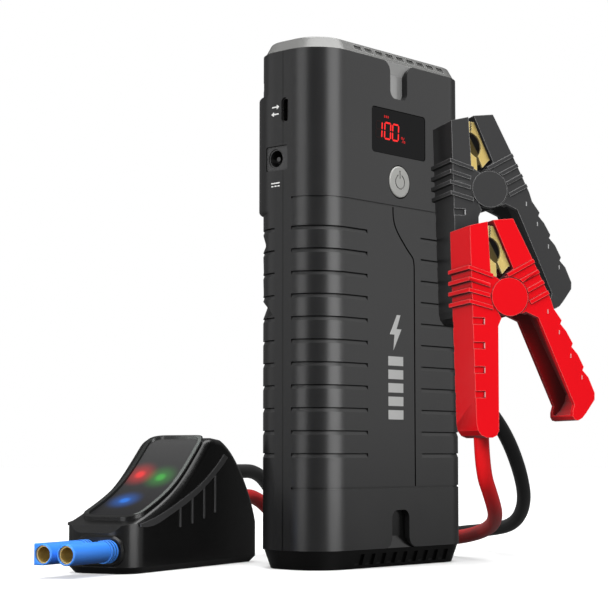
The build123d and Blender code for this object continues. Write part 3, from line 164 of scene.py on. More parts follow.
def vector_node(tree, operation, *values):
    """One Vector Math node; each value is a vector, a tuple or another node's output."""
    made = add_node(tree, "ShaderNodeVectorMath", operation=operation)
    for socket, value in zip(made.inputs, values):
        if isinstance(value, (tuple, Vector)):
            socket.default_value = value
        else:
            link(tree, value, socket)
    return made


def distance_along(tree, direction):
    """How far the point lies along a direction from the origin, in metres."""
    return vector_node(tree, "DOT_PRODUCT", object_place(tree), direction).outputs["Value"]


# Scores of a sharp and a flat place in the test for painted edge highlights, and of a deep and an
# open one in the test for painted crevice shade.
EDGE_SPAN, HOLLOW_SPAN = (0.75, 0.995), (0.35, 0.8)


def painted_edge_highlight(tree, radius):
    """Where highlights are painted: 1 on sharp edges, 0 on flat stretches."""
    rounded = add_node(tree, "ShaderNodeBevel", samples=4, Radius=radius).outputs["Normal"]
    plain = add_node(tree, "ShaderNodeNewGeometry").outputs["Normal"]
    agreement = vector_node(tree, "DOT_PRODUCT", rounded, plain).outputs["Value"]
    return ranged(tree, agreement, 1.0, 0.0, *EDGE_SPAN)


def painted_crevice_shade(tree, reach):
    """Where shade is painted: 1 in grooves and gaps narrower than the reach, 0 on open surfaces."""
    hollow = add_node(tree, "ShaderNodeAmbientOcclusion", samples=8, Distance=reach)
    return ranged(tree, hollow.outputs["AO"], 1.0, 0.0, *HOLLOW_SPAN)


# Noise cells for each metre, how far the gloss varies, how dark the painted shade in crevices is,
# and how deep the grain is in metres.
MOTTLE_SCALE, GLOSS_SCALE, GLOSS_SPREAD = 38, 90, (0.85, 1.15)
CREVICE_SHADE, GRAIN_DEPTH = 0.08, 0.0001


def moulded(name, colour, rough=0.4, grain=0.08, grain_scale=2600, mottle=0.07, edge=None,
            edge_radius=0.0004, metal=0.0, coat=0.0, coat_rough=0.1, stretch=(1, 1, 1),
            specular=0.5, crevice=None, mark=None, facing=None):
    """Moulded plastic, rubber or metal: mottled colour, uneven gloss and fine grain, and where
    asked for, painted highlights of one colour on edges and painted shade in crevices up to a
    reach.

    mark takes the tree and the paint so far, and returns the paint with its own marks, painted
    light or painted shade added; facing returns the normal that the grain is laid over."""
    material, tree, shader = new_material(name)
    shader.inputs["Metallic"].default_value = metal
    shader.inputs["Coat Weight"].default_value = coat
    shader.inputs["Coat Roughness"].default_value = coat_rough
    shader.inputs["Specular IOR Level"].default_value = specular
    dark = tuple(c * (1 - mottle) for c in colour)
    light = tuple(min(c * (1 + mottle), 1.0) for c in colour)
    paint = blend_colour(tree, noise(tree, MOTTLE_SCALE, 4), dark, light)
    # Painted highlight: the edge colour is laid along sharp edges.
    if edge:
        paint = blend_colour(tree, painted_edge_highlight(tree, edge_radius), paint, edge)
    if mark:
        paint = mark(tree, paint)
    # Painted shade: grooves and gaps darken towards CREVICE_SHADE of the colour.
    if crevice:
        shade = tuple(c * CREVICE_SHADE for c in colour)
        paint = blend_colour(tree, painted_crevice_shade(tree, crevice), paint, shade)
    link(tree, paint, shader.inputs["Base Color"])
    glossy, matt = (rough * share for share in GLOSS_SPREAD)
    gloss = ranged(tree, noise(tree, GLOSS_SCALE, 5, stretch), glossy, min(matt, 1))
    link(tree, gloss, shader.inputs["Roughness"])
    if grain:
        bump = add_node(tree, "ShaderNodeBump", Strength=grain, Distance=GRAIN_DEPTH)
        link(tree, noise(tree, grain_scale, 2, stretch), bump.inputs["Height"])
        if facing:
            link(tree, facing(tree), bump.inputs["Normal"])
        link(tree, bump.outputs["Normal"], shader.inputs["Normal"])
    return material


def dress(material, *names):
    """Gives CAD nodes their material."""
    for name in names:
        for place in nodes[name].material_slots:
            place.material = material


# ---------------------------------------------------------------- cables
CABLE_R = 2.75 * MM
FLOOR_Z = 2.8                                  # height of a cable's line where it lies on the floor
RED_ROUTE = [(5.43, -49.89, 58), (5.43, -49.89, 36), (17.5, -46, 24), (33, -36.5, 17),
             (48, -22, 12), (61, -1, 8), (70, 22, 6), (72, 44, FLOOR_Z), (60, 60, FLOOR_Z),
             (40, 67, 6), (22, 65.5, 16), (6.5, 61.9, 24.2), (-6.7, 58.47, 24.2),
             (-19.29, 55.24, 24.2)]
BLACK_ROUTE = [(18.53, -32.19, 99.8), (18.53, -32.19, 76), (29, -34, 60), (45, -33, 48),
               (63, -27, 33), (80, -17, 21), (94, -2, 12), (104, 17, 9), (110, 40, 7),
               (106, 64, FLOOR_Z), (88, 79, FLOOR_Z), (64, 83, 5), (44, 79.5, 14), (27, 72, 26),
               (9, 63.5, 34), (-8.83, 57.93, 34), (-25.3, 53.7, 34)]


def make_cable(colour, route, material):
    """One lead from its clamp's crimp to its gland on the module."""
    curve = bpy.data.curves.new(f"{colour}_lead", "CURVE")
    curve.dimensions = "3D"
    curve.bevel_depth = CABLE_R
    curve.bevel_resolution = 8
    curve.resolution_u = 12
    curve.use_fill_caps = True
    spline = curve.splines.new("NURBS")
    spline.points.add(len(route) - 1)
    for point, place in zip(spline.points, route):
        point.co = (*[c * MM for c in place], 1)
    spline.order_u = 3
    spline.use_endpoint_u = True
    curve.materials.append(material)
    piece = bpy.data.objects.new(f"{colour}_lead", curve)
    bpy.context.scene.collection.objects.link(piece)
    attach(piece, "lead_set")
    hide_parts(f"{colour}_cable")
    return piece


cable_red = moulded("cable_red", (0.95, 0.008, 0.012), rough=0.3, grain=0.04, grain_scale=1800,
                    coat=0.3)
cable_black = moulded("cable_black", (0.012, 0.012, 0.012), rough=0.32, grain=0.04,
                      grain_scale=1800, coat=0.25)
leads = [make_cable("red", RED_ROUTE, cable_red),
         make_cable("black", BLACK_ROUTE, cable_black)]


# ---------------------------------------------------------------- mesh helpers
class Place:
    """A local plane: x and y run along it, and out is its normal.  Lengths are in millimetres."""

    def __init__(self, origin, x_dir, out):
        self.origin = Vector(origin)
        self.out = Vector(out).normalized()
        self.x_dir = Vector(x_dir).normalized()
        self.y_dir = self.out.cross(self.x_dir)

    def point(self, x, y, up=0.0):
        return (self.origin + self.x_dir * x + self.y_dir * y + self.out * up) * MM


def plates(name, place, outlines, low, high, material, body, slot):
    """Flat plates with the given outlines, from low to high above a plane, joined as one piece."""
    mesh = bpy.data.meshes.new(name)
    build = bmesh.new()
    for outline in outlines:
        bottom = [build.verts.new(place.point(x, y, low)) for x, y in outline]
        top = [build.verts.new(place.point(x, y, high)) for x, y in outline]
        build.faces.new(top)
        build.faces.new(list(reversed(bottom)))
        for i in range(len(outline)):
            j = (i + 1) % len(outline)
            build.faces.new((bottom[i], bottom[j], top[j], top[i]))
    bmesh.ops.recalc_face_normals(build, faces=build.faces)
    build.to_mesh(mesh)
    build.free()
    mesh.materials.append(material)
    piece = bpy.data.objects.new(name, mesh)
    bpy.context.scene.collection.objects.link(piece)
    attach(piece, body)
    return piece


def rectangle(x, y, width, height):
    return [(x - width / 2, y - height / 2), (x + width / 2, y - height / 2),
            (x + width / 2, y + height / 2), (x - width / 2, y + height / 2)]


def arc(x, y, inner, outer, start, end, steps=24):
    """A stretch of a ring between two angles in degrees."""
    angles = [radians(start + (end - start) * i / steps) for i in range(steps + 1)]
    return ([(x + outer * cos(a), y + outer * sin(a)) for a in angles]
            + [(x + inner * cos(a), y + inner * sin(a)) for a in reversed(angles)])


def ring(x, y, inner, outer):
    """A whole ring as two halves, so that each stays one simple outline."""
    return [arc(x, y, inner, outer, 0, 180), arc(x, y, inner, outer, 180, 360)]


def shifted(outline, x, y, scale=1.0):
    return [(x + px * scale, y + py * scale) for px, py in outline]


# ---------------------------------------------------------------- pack materials
# Half width and half depth of the pack's plan outline up to where its corners start.
STRAIGHT_X, STRAIGHT_Y = 30.1, 3.4
# The grip grooves: the foot of their rows, the rows' pitch, a groove's height, and where rows are.
GROOVE_FOOT, GROOVE_PITCH, GROOVE_H, GROOVES_Z = 40.9, 8.06, 1.6, (39.3, 121.5)
AGREEMENT = 0.5                                # least cosine between the exact and the mesh normal
SEAM_Y, SEAM_W, SEAM_BLACK = 0.0, 0.6, (0.0006, 0.0006, 0.0006)
# The cap's lower edge, its tab's sloping root below that edge, and the tab's two silvers, which
# are painted light.
CAP_EDGE, ROOT_H = 185.6, 4.2
TAB_PAINTED_LIGHT, ROOT_PAINTED_LIGHT = (0.36, 0.36, 0.355), (0.75, 0.75, 0.74)


def case_facing(tree):
    """The exact outward normal of the pack's plan outline.

    Grooves, ports and insides keep the normal of their mesh."""
    place = object_axes(tree)
    outward = tree.nodes.new("ShaderNodeCombineXYZ")
    for axis, straight in (("X", STRAIGHT_X), ("Y", STRAIGHT_Y)):
        value = place[axis]
        past = arithmetic(tree, "SUBTRACT", arithmetic(tree, "ABSOLUTE", value), straight * MM)
        past = arithmetic(tree, "MAXIMUM", past, 0.0)
        past = arithmetic(tree, "MULTIPLY", past, arithmetic(tree, "SIGN", value))
        link(tree, past, outward.inputs[axis])
    exact = vector_node(tree, "NORMALIZE", outward.outputs["Vector"]).outputs["Vector"]
    own = add_node(tree, "ShaderNodeNewGeometry").outputs["Normal"]
    agree = vector_node(tree, "DOT_PRODUCT", exact, own).outputs["Value"]
    agree = arithmetic(tree, "GREATER_THAN", agree, AGREEMENT)
    row = arithmetic(tree, "SUBTRACT", place["Z"], GROOVE_FOOT * MM)
    row = arithmetic(tree, "MULTIPLY", row, 1 / (GROOVE_PITCH * MM))
    in_groove = arithmetic(tree, "GREATER_THAN", arithmetic(tree, "FRACT", row),
                           1 - GROOVE_H / GROOVE_PITCH)
    low, high = GROOVES_Z
    among = arithmetic(tree, "COMPARE", place["Z"], (low + high) / 2 * MM, (high - low) / 2 * MM)
    smooth = arithmetic(tree, "SUBTRACT", 1.0, arithmetic(tree, "MULTIPLY", in_groove, among))
    return blend_colour(tree, arithmetic(tree, "MULTIPLY", agree, smooth), own, exact)


def case_marks(tree, paint):
    """The dark parting line between the two shells, down both sides."""
    on_line = arithmetic(tree, "COMPARE", object_axes(tree)["Y"], SEAM_Y * MM, SEAM_W / 2 * MM)
    return blend_colour(tree, on_line, paint, SEAM_BLACK)


def cap_tab_painted_light(tree, paint):
    """Painted light: the tab that runs down from the cap into its slot is painted a lighter silver,
    lightest on its sloping root.
    """
    height = object_axes(tree)["Z"]
    on_tab = arithmetic(tree, "LESS_THAN", height, CAP_EDGE * MM)
    paint = blend_colour(tree, on_tab, paint, TAB_PAINTED_LIGHT)
    on_root = arithmetic(tree, "COMPARE", height, (CAP_EDGE - ROOT_H / 2) * MM, ROOT_H / 2 * MM)
    return blend_colour(tree, on_root, paint, ROOT_PAINTED_LIGHT)


# An edge colour paints highlights on sharp edges; a crevice reach paints shade into hollows.
body_grey = moulded("body_grey", (0.0095, 0.0095, 0.0098), rough=0.3, grain=0.05, grain_scale=3200,
                    mottle=0.05, crevice=0.0012, mark=case_marks, facing=case_facing)
cap_silver = moulded("cap_silver", (0.215, 0.215, 0.21), rough=0.26, grain=0.06, grain_scale=4200,
                     metal=0.3, edge=(0.6, 0.6, 0.59), mark=cap_tab_painted_light)
base_black = moulded("base_black", (0.0015, 0.0015, 0.0015), rough=0.22, grain=0.05, specular=0.4)
rubber = moulded("rubber", (0.014, 0.014, 0.014), rough=0.65, grain=0.2, grain_scale=2000)
window = moulded("window", (0.004, 0.004, 0.0045), rough=0.08, grain=0.0, mottle=0.03, coat=0.6,
                 coat_rough=0.03)
button = moulded("button", (0.42, 0.42, 0.40), rough=0.33, grain=0.06, edge=(0.6, 0.6, 0.58),
                 edge_radius=0.0003, crevice=0.0008)
inner_plastic = moulded("inner_plastic", (0.012, 0.012, 0.012), rough=0.42, edge=(0.05, 0.05, 0.05))
board_green = moulded("board_green", (0.01, 0.09, 0.04), rough=0.35, grain=0.1, mottle=0.2)
cell_foil = moulded("cell_foil", (0.55, 0.56, 0.58), rough=0.35, grain=0.15, grain_scale=900,
                    metal=0.9)
copper = moulded("copper", (0.72, 0.40, 0.24), rough=0.3, grain=0.05, metal=1.0)
steel = moulded("steel", (0.55, 0.55, 0.55), rough=0.28, grain=0.05, metal=1.0, stretch=(1, 1, 6))
tongue_white = moulded("tongue_white", (0.55, 0.55, 0.53), grain=0.05)
gold = moulded("gold", (0.95, 0.66, 0.20), rough=0.25, grain=0.04, metal=0.3, edge=(1.0, 0.9, 0.55))
contact_gold = moulded("contact_gold", (0.90, 0.60, 0.16), rough=0.22, grain=0.04, metal=0.3,
                       edge=(1.0, 0.9, 0.55), crevice=0.005)
jack_black = moulded("jack_black", (0.032, 0.032, 0.0325), rough=0.36, grain=0.10, grain_scale=3200,
                     crevice=0.006)
reflector = moulded("reflector", (0.8, 0.8, 0.8), rough=0.08, grain=0.02, metal=1.0)


def clear_lens():
    material, tree, shader = new_material("lens")
    shader.inputs["Base Color"].default_value = (0.93, 0.95, 0.96, 1)
    shader.inputs["Transmission Weight"].default_value = 0.9
    shader.inputs["IOR"].default_value = 1.49
    link(tree, ranged(tree, noise(tree, 120, 2), 0.04, 0.09), shader.inputs["Roughness"])
    return material


def diode():
    """Yellow phosphor under clear resin."""
    material, tree, shader = new_material("diode")
    phosphor = blend_colour(tree, noise(tree, 900, 2), (0.8, 0.68, 0.2), (0.95, 0.88, 0.5))
    link(tree, phosphor, shader.inputs["Base Color"])
    shader.inputs["Roughness"].default_value = 0.25
    shader.inputs["Coat Weight"].default_value = 0.6
    return material


# ---------------------------------------------------------------- the module's own frame and marks
# Its nearer corner at the plug's end, its turn and its width; U runs from that end to the cables'
# end, and V across it, away from the camera.
MODULE_AT, MODULE_YAW, MODULE_W = Vector((-98.45, 19.74, 0.0)), radians(14.4), 29.4
MODULE_U = Vector((cos(MODULE_YAW), sin(MODULE_YAW), 0))
MODULE_V = Vector((-sin(MODULE_YAW), cos(MODULE_YAW), 0))
# The panel's extent along both, its corner radius, and the bevel round it.
PANEL_U, PANEL_V, PANEL_CORNER, BEVEL_W = (7.8, 52.6), (3.6, 24.4), 4.4, 1.3
# Grey of the proud stripes, and the pale grey of the painted highlight on the panel's bevel.
STRIPE_GREY, BEVEL_HIGHLIGHT_GREY = (0.050, 0.050, 0.051), (0.10, 0.108, 0.103)
PROUD = 0.1                                    # how far a stripe stands out at the least
# How the painted bevel highlight fades across the module, its far level, and where it starts.
BEVEL_FADE, BEVEL_FAR, BEVEL_START_U = (5.0, 16.0), 0.12, 9.0


def module_axis(tree, axis):
    """Distance along one of the module's own axes, in metres."""
    return arithmetic(tree, "SUBTRACT", distance_along(tree, axis), MODULE_AT.dot(axis) * MM)


def module_stripes_and_bevel_highlight(tree, paint):
    """Grey on the parts that stand proud of the sides, and a painted highlight on the bevel round
    the near side of the panel, which fades out across it."""
    u, v = module_axis(tree, MODULE_U), module_axis(tree, MODULE_V)
    middle = MODULE_W / 2 * MM
    off_middle = arithmetic(tree, "ABSOLUTE", arithmetic(tree, "SUBTRACT", v, middle))
    proud = arithmetic(tree, "GREATER_THAN", off_middle, middle + PROUD * MM)
    paint = blend_colour(tree, proud, paint, STRIPE_GREY)
    squares = []
    for value, (low, high) in ((u, PANEL_U), (v, PANEL_V)):
        offset = arithmetic(tree, "SUBTRACT", value, (low + high) / 2 * MM)
        past = arithmetic(tree, "SUBTRACT", arithmetic(tree, "ABSOLUTE", offset),
                          ((high - low) / 2 - PANEL_CORNER) * MM)
        past = arithmetic(tree, "MAXIMUM", past, 0.0)
        squares.append(arithmetic(tree, "MULTIPLY", past, past))
    outside = arithmetic(tree, "SQRT", arithmetic(tree, "ADD", *squares))
    within = arithmetic(tree, "LESS_THAN", outside, (PANEL_CORNER + BEVEL_W) * MM)
    near = ranged(tree, v, 1.0, BEVEL_FAR, *(reach * MM for reach in BEVEL_FADE))
    upper = arithmetic(tree, "GREATER_THAN", u, BEVEL_START_U * MM)
    # Painted highlight on the near bevel.
    bevel = arithmetic(tree, "MULTIPLY", arithmetic(tree, "MULTIPLY", within, near), upper)
    return blend_colour(tree, bevel, paint, BEVEL_HIGHLIGHT_GREY)


module_black = moulded("module_black", (0.0045, 0.0045, 0.0045), rough=0.24, grain=0.03,
                       mark=module_stripes_and_bevel_highlight)
# The plug's edge colour is a painted highlight, and its crevice reach paints shade.
plug_blue = moulded("plug_blue", (0.035, 0.245, 0.90), rough=0.36, grain=0.05,
                    edge=(0.12, 0.40, 1.0), crevice=0.002)

# ---------------------------------------------------------------- module panel with its three glows
# Where each diode sits along U, V and Z, and the colour of its glow.
GLOWS = [((37.0, 20.3, 33.3), (0.80, 0.010, 0.010)), ((35.8, 10.9, 32.4), (0.03, 0.34, 0.03)),
         ((22.2, 17.1, 24.4), (0.006, 0.16, 0.70))]
# Radius and strength of a glow's bright middle and of its halo, in metres.
CORE_R, CORE_FULL_R, CORE_LEVEL = 0.0028, 0.00084, 0.6
HALO_R, HALO_LEVEL = 0.0085, 0.45
# The panel's own grey, and the lighter grey of a painted reflection towards its top.
PANEL_LOW, PANEL_REFLECTION_TOP = (0.007, 0.007, 0.008), (0.045, 0.045, 0.045)


def module_point(u, v, w):
    return (MODULE_AT + MODULE_U * u + MODULE_V * v + Vector((0, 0, w))) * MM


def glowing_panel():
    """Satin grey panel with a painted reflection that lightens it towards its top, and a soft
    coloured glow over each diode.
    """
    material, tree, shader = new_material("panel")
    low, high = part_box("module_panel")
    # Painted reflection: lighter grey towards the panel's top.
    reflection_rise = ranged(tree, object_axes(tree)["Z"], 0.0, 1.0, low[2], high[2])
    link(tree, blend_colour(tree, reflection_rise, PANEL_LOW, PANEL_REFLECTION_TOP), shader.inputs["Base Color"])
    place = object_place(tree)
    total = (0.0, 0.0, 0.0)
    for spot, colour in GLOWS:
        gap = vector_node(tree, "DISTANCE", place, module_point(*spot)).outputs["Value"]
        halo = ranged(tree, gap, 0.0, HALO_LEVEL, HALO_R, 0.0, "SMOOTHERSTEP")
        core = ranged(tree, gap, 0.0, CORE_LEVEL, CORE_R, CORE_FULL_R, "SMOOTHSTEP")
        tint = vector_node(tree, "SCALE", colour)
        link(tree, arithmetic(tree, "ADD", halo, core), tint.inputs["Scale"])
        total = vector_node(tree, "ADD", total, tint.outputs["Vector"]).outputs["Vector"]
    link(tree, total, shader.inputs["Emission Color"])
    shader.inputs["Emission Strength"].default_value = 1.0
    shader.inputs["Specular IOR Level"].default_value = 0.16
    link(tree, ranged(tree, noise(tree, 150, 4), 0.3, 0.4), shader.inputs["Roughness"])
    bump = add_node(tree, "ShaderNodeBump", Strength=0.05, Distance=GRAIN_DEPTH)
    link(tree, noise(tree, 3000, 2), bump.inputs["Height"])
    link(tree, bump.outputs["Normal"], shader.inputs["Normal"])
    return material


# ---------------------------------------------------------------- the clamps' own frame and jaws
CLAMP_YAW = radians(-32.5)
CLAMP_X = Vector((cos(CLAMP_YAW), sin(CLAMP_YAW), 0))
CLAMP_AWAY = Vector((-sin(CLAMP_YAW), cos(CLAMP_YAW), 0))
# Where each pivot's line meets the clamp's near face, and how thick a clamp is behind it.
PIVOTS = {"red": (6.3, -62.3, 96.0), "black": (19.4, -44.6, 137.8)}
CLAMP_THICK = 20.0
# Depths where the jaws' painted inner shade starts and where it is darkest, and that shade.
JAW_SKIN, JAW_DEEP, JAW_SHADE = 3.3, 5.0, (0.010, 0.006, 0.003)


def jaw_hollow_shade(pivot):
    """Painted shade in the hollow between a jaw's near and far plates."""
    def mark(tree, paint):
        middle = (Vector(pivot).dot(CLAMP_AWAY) + CLAMP_THICK / 2) * MM
        offset = arithmetic(tree, "SUBTRACT", distance_along(tree, CLAMP_AWAY), middle)
        dark = ranged(tree, arithmetic(tree, "ABSOLUTE", offset), 1.0, 0.0,
                      (CLAMP_THICK / 2 - JAW_DEEP) * MM, (CLAMP_THICK / 2 - JAW_SKIN) * MM)
        return blend_colour(tree, dark, paint, JAW_SHADE)
    return mark


# Both clamps get painted highlights on their edges and painted shade in their hollow handles.
clamp_red = moulded("clamp_red", (0.86, 0.004, 0.010), rough=0.3, grain=0.05, grain_scale=2200,
                    mottle=0.04, edge=(1.0, 0.19, 0.18), specular=0.3, crevice=0.018)
clamp_black = moulded("clamp_black", (0.056, 0.056, 0.057), rough=0.34, grain=0.06,
                      grain_scale=2200, mottle=0.06, edge=(0.48, 0.48, 0.48), crevice=0.018)
jaw_gold = {colour: moulded(f"jaw_gold_{colour}", (1.0, 0.72, 0.24), rough=0.3, grain=0.05,
                            metal=0.1, edge=(1.0, 0.92, 0.6), mark=jaw_hollow_shade(pivot))
            for colour, pivot in PIVOTS.items()}

# ---------------------------------------------------------------- the CAD nodes' materials
dress(body_grey, "front_shell", "rear_shell")
dress(cap_silver, "top_cap")
dress(base_black, "bottom_cap")
dress(rubber, "rubber_feet", "jump_socket_cover", "cable_glands", "foam_pad")
dress(window, "display_window", "display_module")
dress(button, "power_button")
dress(jack_black, "dc_jack")
dress(inner_plastic, "button_switch", "cell_tray", "jump_socket", "usb_c_tongue", "module_relays")
dress(board_green, "front_board", "main_board", "side_board", "torch_board", "module_board")
dress(cell_foil, "battery_cells")
dress(copper, "bus_bars")
dress(steel, "usb_c_socket", "usb_a_sockets", "dc_jack_pin", "case_screws", "base_screws",
      "module_screws", "cover_hinge_pin", "red_clamp_pivot_pin", "black_clamp_pivot_pin",
      "red_clamp_spring", "black_clamp_spring")
dress(tongue_white, "usb_a_tongues")
dress(gold, "jump_socket_pins")
dress(contact_gold, "plug_contacts")
dress(clear_lens(), "torch_lens")
dress(reflector, "torch_reflector")
dress(diode(), "torch_leds", "module_leds")
dress(module_black, "module_upper_shell", "module_lower_shell", "plug_collar")
dress(glowing_panel(), "module_panel")
dress(plug_blue, "jump_plug")
dress(clamp_red, "red_clamp_fixed_half", "red_clamp_moving_half")
dress(clamp_black, "black_clamp_fixed_half", "black_clamp_moving_half")
for colour in PIVOTS:
    dress(jaw_gold[colour], f"{colour}_clamp_fixed_jaw", f"{colour}_clamp_moving_jaw")

# ---------------------------------------------------------------- the clamps' rounded edges
HALF_ROUND, JAW_ROUND, SHARP_ANGLE, WELD_REACH = 0.45, 0.12, 32.0, 1e-6


def soften(name, width):
    """Rounds a CAD node's sharp edges a little, as moulding does."""
    piece = nodes[name]
    weld = piece.modifiers.new("weld", "WELD")
    weld.merge_threshold = WELD_REACH
    bevel = piece.modifiers.new("bevel", "BEVEL")
    bevel.width = width * MM
    bevel.segments = 2
    bevel.limit_method = "ANGLE"
    bevel.angle_limit = radians(SHARP_ANGLE)
    bevel.harden_normals = True


for colour in PIVOTS:
    for part, width in (("half", HALF_ROUND), ("jaw", JAW_ROUND)):
        soften(f"{colour}_clamp_fixed_{part}", width)
        soften(f"{colour}_clamp_moving_{part}", width)

# The pack and the module show no mirror image of the clamps and the leads beside them.
for piece in [nodes[name] for name in nodes if "_clamp_" in name] + leads:
    piece.visible_glossy = False
    piece.visible_diffuse = False


# ---------------------------------------------------------------- display digits
GLOW_RED = (0.9, 0.03, 0.03, 1)


def glowing_red(name, colour, strength):
    material = moulded(name, colour, grain=0.0)
    shader = material.node_tree.nodes["Principled BSDF"]
    shader.inputs["Emission Color"].default_value = GLOW_RED
    shader.inputs["Emission Strength"].default_value = strength
    return material


lit_red = glowing_red("lit_red", (0.6, 0.01, 0.01), 0.85)
dim_red = glowing_red("dim_red", (0.4, 0.01, 0.01), 0.3)
unlit_red = moulded("unlit_red", (0.02, 0.010, 0.010), rough=0.3, grain=0.0)

# The pack's front face and left side, with x to the right as seen from outside.
front = Place((0, -17.7, 0), (1, 0, 0), (0, -1, 0))
left = Place((-44.4, 0, 0), (0, -1, 0), (-1, 0, 0))

WINDOW_Z, DIGIT_H, DIGIT_W, DIGIT_T, DIGIT_LEAN, DIGIT_GAP = 159.3, 6.0, 3.4, 0.62, 0.06, 0.16
SEGMENTS_LIT = {"1": "bc", "0": "abcdef"}
DIGITS = [("1", -11.5), ("0", -6.5), ("0", -1.9)]
LIT_LAYER, UNLIT_LAYER = (-0.16, -0.10), (-0.16, -0.12)     # below the pack's front face
# The percent sign, and three small bars over the digits; heights are from the digits' middle.
PERCENT_RINGS, RING_IN, RING_OUT = [(1.9, -1.6), (3.3, -2.9)], 0.2, 0.5
PERCENT_STROKE = [(1.8, -3.3), (2.1, -3.3), (3.4, -1.2), (3.1, -1.2)]
SMALL_BARS_X, SMALL_BARS_UP, SMALL_BAR_STEP, SMALL_BAR = -8.2, 5.2, 1.0, (0.55, 0.9)


def bar(x1, y1, x2, y2, thick):
    """A segment with pointed ends between two points."""
    length = ((x2 - x1) ** 2 + (y2 - y1) ** 2) ** 0.5
    ux, uy = (x2 - x1) / length, (y2 - y1) / length
    half = thick / 2
    return [(x1, y1), (x1 + ux * half - uy * half, y1 + uy * half + ux * half),
            (x2 - ux * half - uy * half, y2 - uy * half + ux * half), (x2, y2),
            (x2 - ux * half + uy * half, y2 - uy * half - ux * half),
            (x1 + ux * half + uy * half, y1 + uy * half - ux * half)]


def segments(x, chosen):
    """Outlines of the chosen segments of one digit, leaning a little to the right."""
    w, h = DIGIT_W / 2, DIGIT_H / 2
    ends = {"a": (-w, h, w, h), "b": (w, h, w, 0), "c": (w, 0, w, -h), "d": (-w, -h, w, -h),
            "e": (-w, -h, -w, 0), "f": (-w, 0, -w, h), "g": (-w, 0, w, 0)}
    outlines = []
    for key, (x1, y1, x2, y2) in ends.items():
        if key not in chosen:
            continue
        length = max(abs(x2 - x1), abs(y2 - y1))
        sx, sy = (x2 - x1) / length * DIGIT_GAP, (y2 - y1) / length * DIGIT_GAP
        shape = bar(x1 + sx, y1 + sy, x2 - sx, y2 - sy, DIGIT_T)
        outlines.append([(x + px + py * DIGIT_LEAN, WINDOW_Z + py) for px, py in shape])
    return outlines


lit, unlit = [], []
for digit, x in DIGITS:
    on = SEGMENTS_LIT[digit]
    lit += segments(x, on)
    unlit += segments(x, [key for key in "abcdefg" if key not in on])
signs = []
for x, up in PERCENT_RINGS:
    signs += ring(x, WINDOW_Z + up, RING_IN, RING_OUT)
signs.append([(x, WINDOW_Z + up) for x, up in PERCENT_STROKE])
for i in range(3):
    signs.append(rectangle(SMALL_BARS_X + i * SMALL_BAR_STEP, WINDOW_Z + SMALL_BARS_UP, *SMALL_BAR))
plates("display_digits", front, lit, *LIT_LAYER, lit_red, "pack", "display")
plates("display_signs", front, signs, *LIT_LAYER, dim_red, "pack", "display")
plates("display_unlit", front, unlit, *UNLIT_LAYER, unlit_red, "pack", "display")

# ---------------------------------------------------------------- printed marks
print_grey = moulded("print_grey", (0.68, 0.68, 0.67), rough=0.5, grain=0.05, mottle=0.06)
INK = (0.0, 0.06)                              # the ink's bottom and top above the surface
# A bolt over five bars stands on the front.
EMBLEM_X, BOLT_Z, BOLT_SCALE = -2.6, 85.0, 1.3
BOLT = [(0.6, 5.0), (-2.6, -0.6), (-0.5, -0.6), (-1.0, -5.0), (2.6, 1.0), (0.4, 1.0), (2.2, 5.0)]
BARS_TOP, BAR_STEP, BAR_SIZE = 74.5, 4.9, (8.6, 3.4)
# Two arrows, one over the other and each way round, stand beside the USB-C slot.
ARROW = [(-1.6, 0.25), (-1.6, -0.25), (0.7, -0.25), (0.7, -0.9), (1.9, 0), (0.7, 0.9), (0.7, 0.25)]
ARROW_X, ARROW_Z, ARROW_DROP = -3.7, 165.3, 2.6
# The direct-current sign beside the jack is a long stroke over three short ones.
LONG_STROKE, SHORT_W, STROKE_H = (-3.6, 137.6, 4.2), 1.0, 0.45
SHORT_X, SHORT_STEP, SHORT_Z = -5.1, 1.5, 136.5

emblem = [shifted(BOLT, EMBLEM_X, BOLT_Z, BOLT_SCALE)]
emblem += [rectangle(EMBLEM_X, BARS_TOP - i * BAR_STEP, *BAR_SIZE) for i in range(5)]
plates("front_emblem", front, emblem, *INK, print_grey, "pack", "button")

upper_arrow = shifted(ARROW, ARROW_X, ARROW_Z)
lower_arrow = [(2 * ARROW_X - x, y - ARROW_DROP) for x, y in reversed(upper_arrow)]
side_marks = [upper_arrow, lower_arrow, rectangle(*LONG_STROKE, STROKE_H)]
side_marks += [rectangle(SHORT_X + i * SHORT_STEP, SHORT_Z, SHORT_W, STROKE_H) for i in range(3)]
plates("side_marks", left, side_marks, *INK, print_grey, "pack", "button")

# ---------------------------------------------------------------- painted notch highlights
FIXED_NOTCH_HIGHLIGHTS = [(-9.6, y) for y in (-8.9, -17.5, -26.1, -34.7)]
MOVING_NOTCH_HIGHLIGHTS = [(14.6, -4.9), (18.9, -12.2), (23.2, -20.5), (27.4, -28.1)]
MARK_W, FIXED_MARK_H, MOVING_MARK_H = 0.35, 1.8, 1.5
MARK_LAYER = (-0.02, 0.12)                     # from just inside a clamp's face to just outside it
# Colours of the painted highlights along the edges of small notches in the clamps' cheeks.
NOTCH_HIGHLIGHT_COLOURS = {"red": (0.75, 0.35, 0.34), "black": (0.45, 0.45, 0.45)}

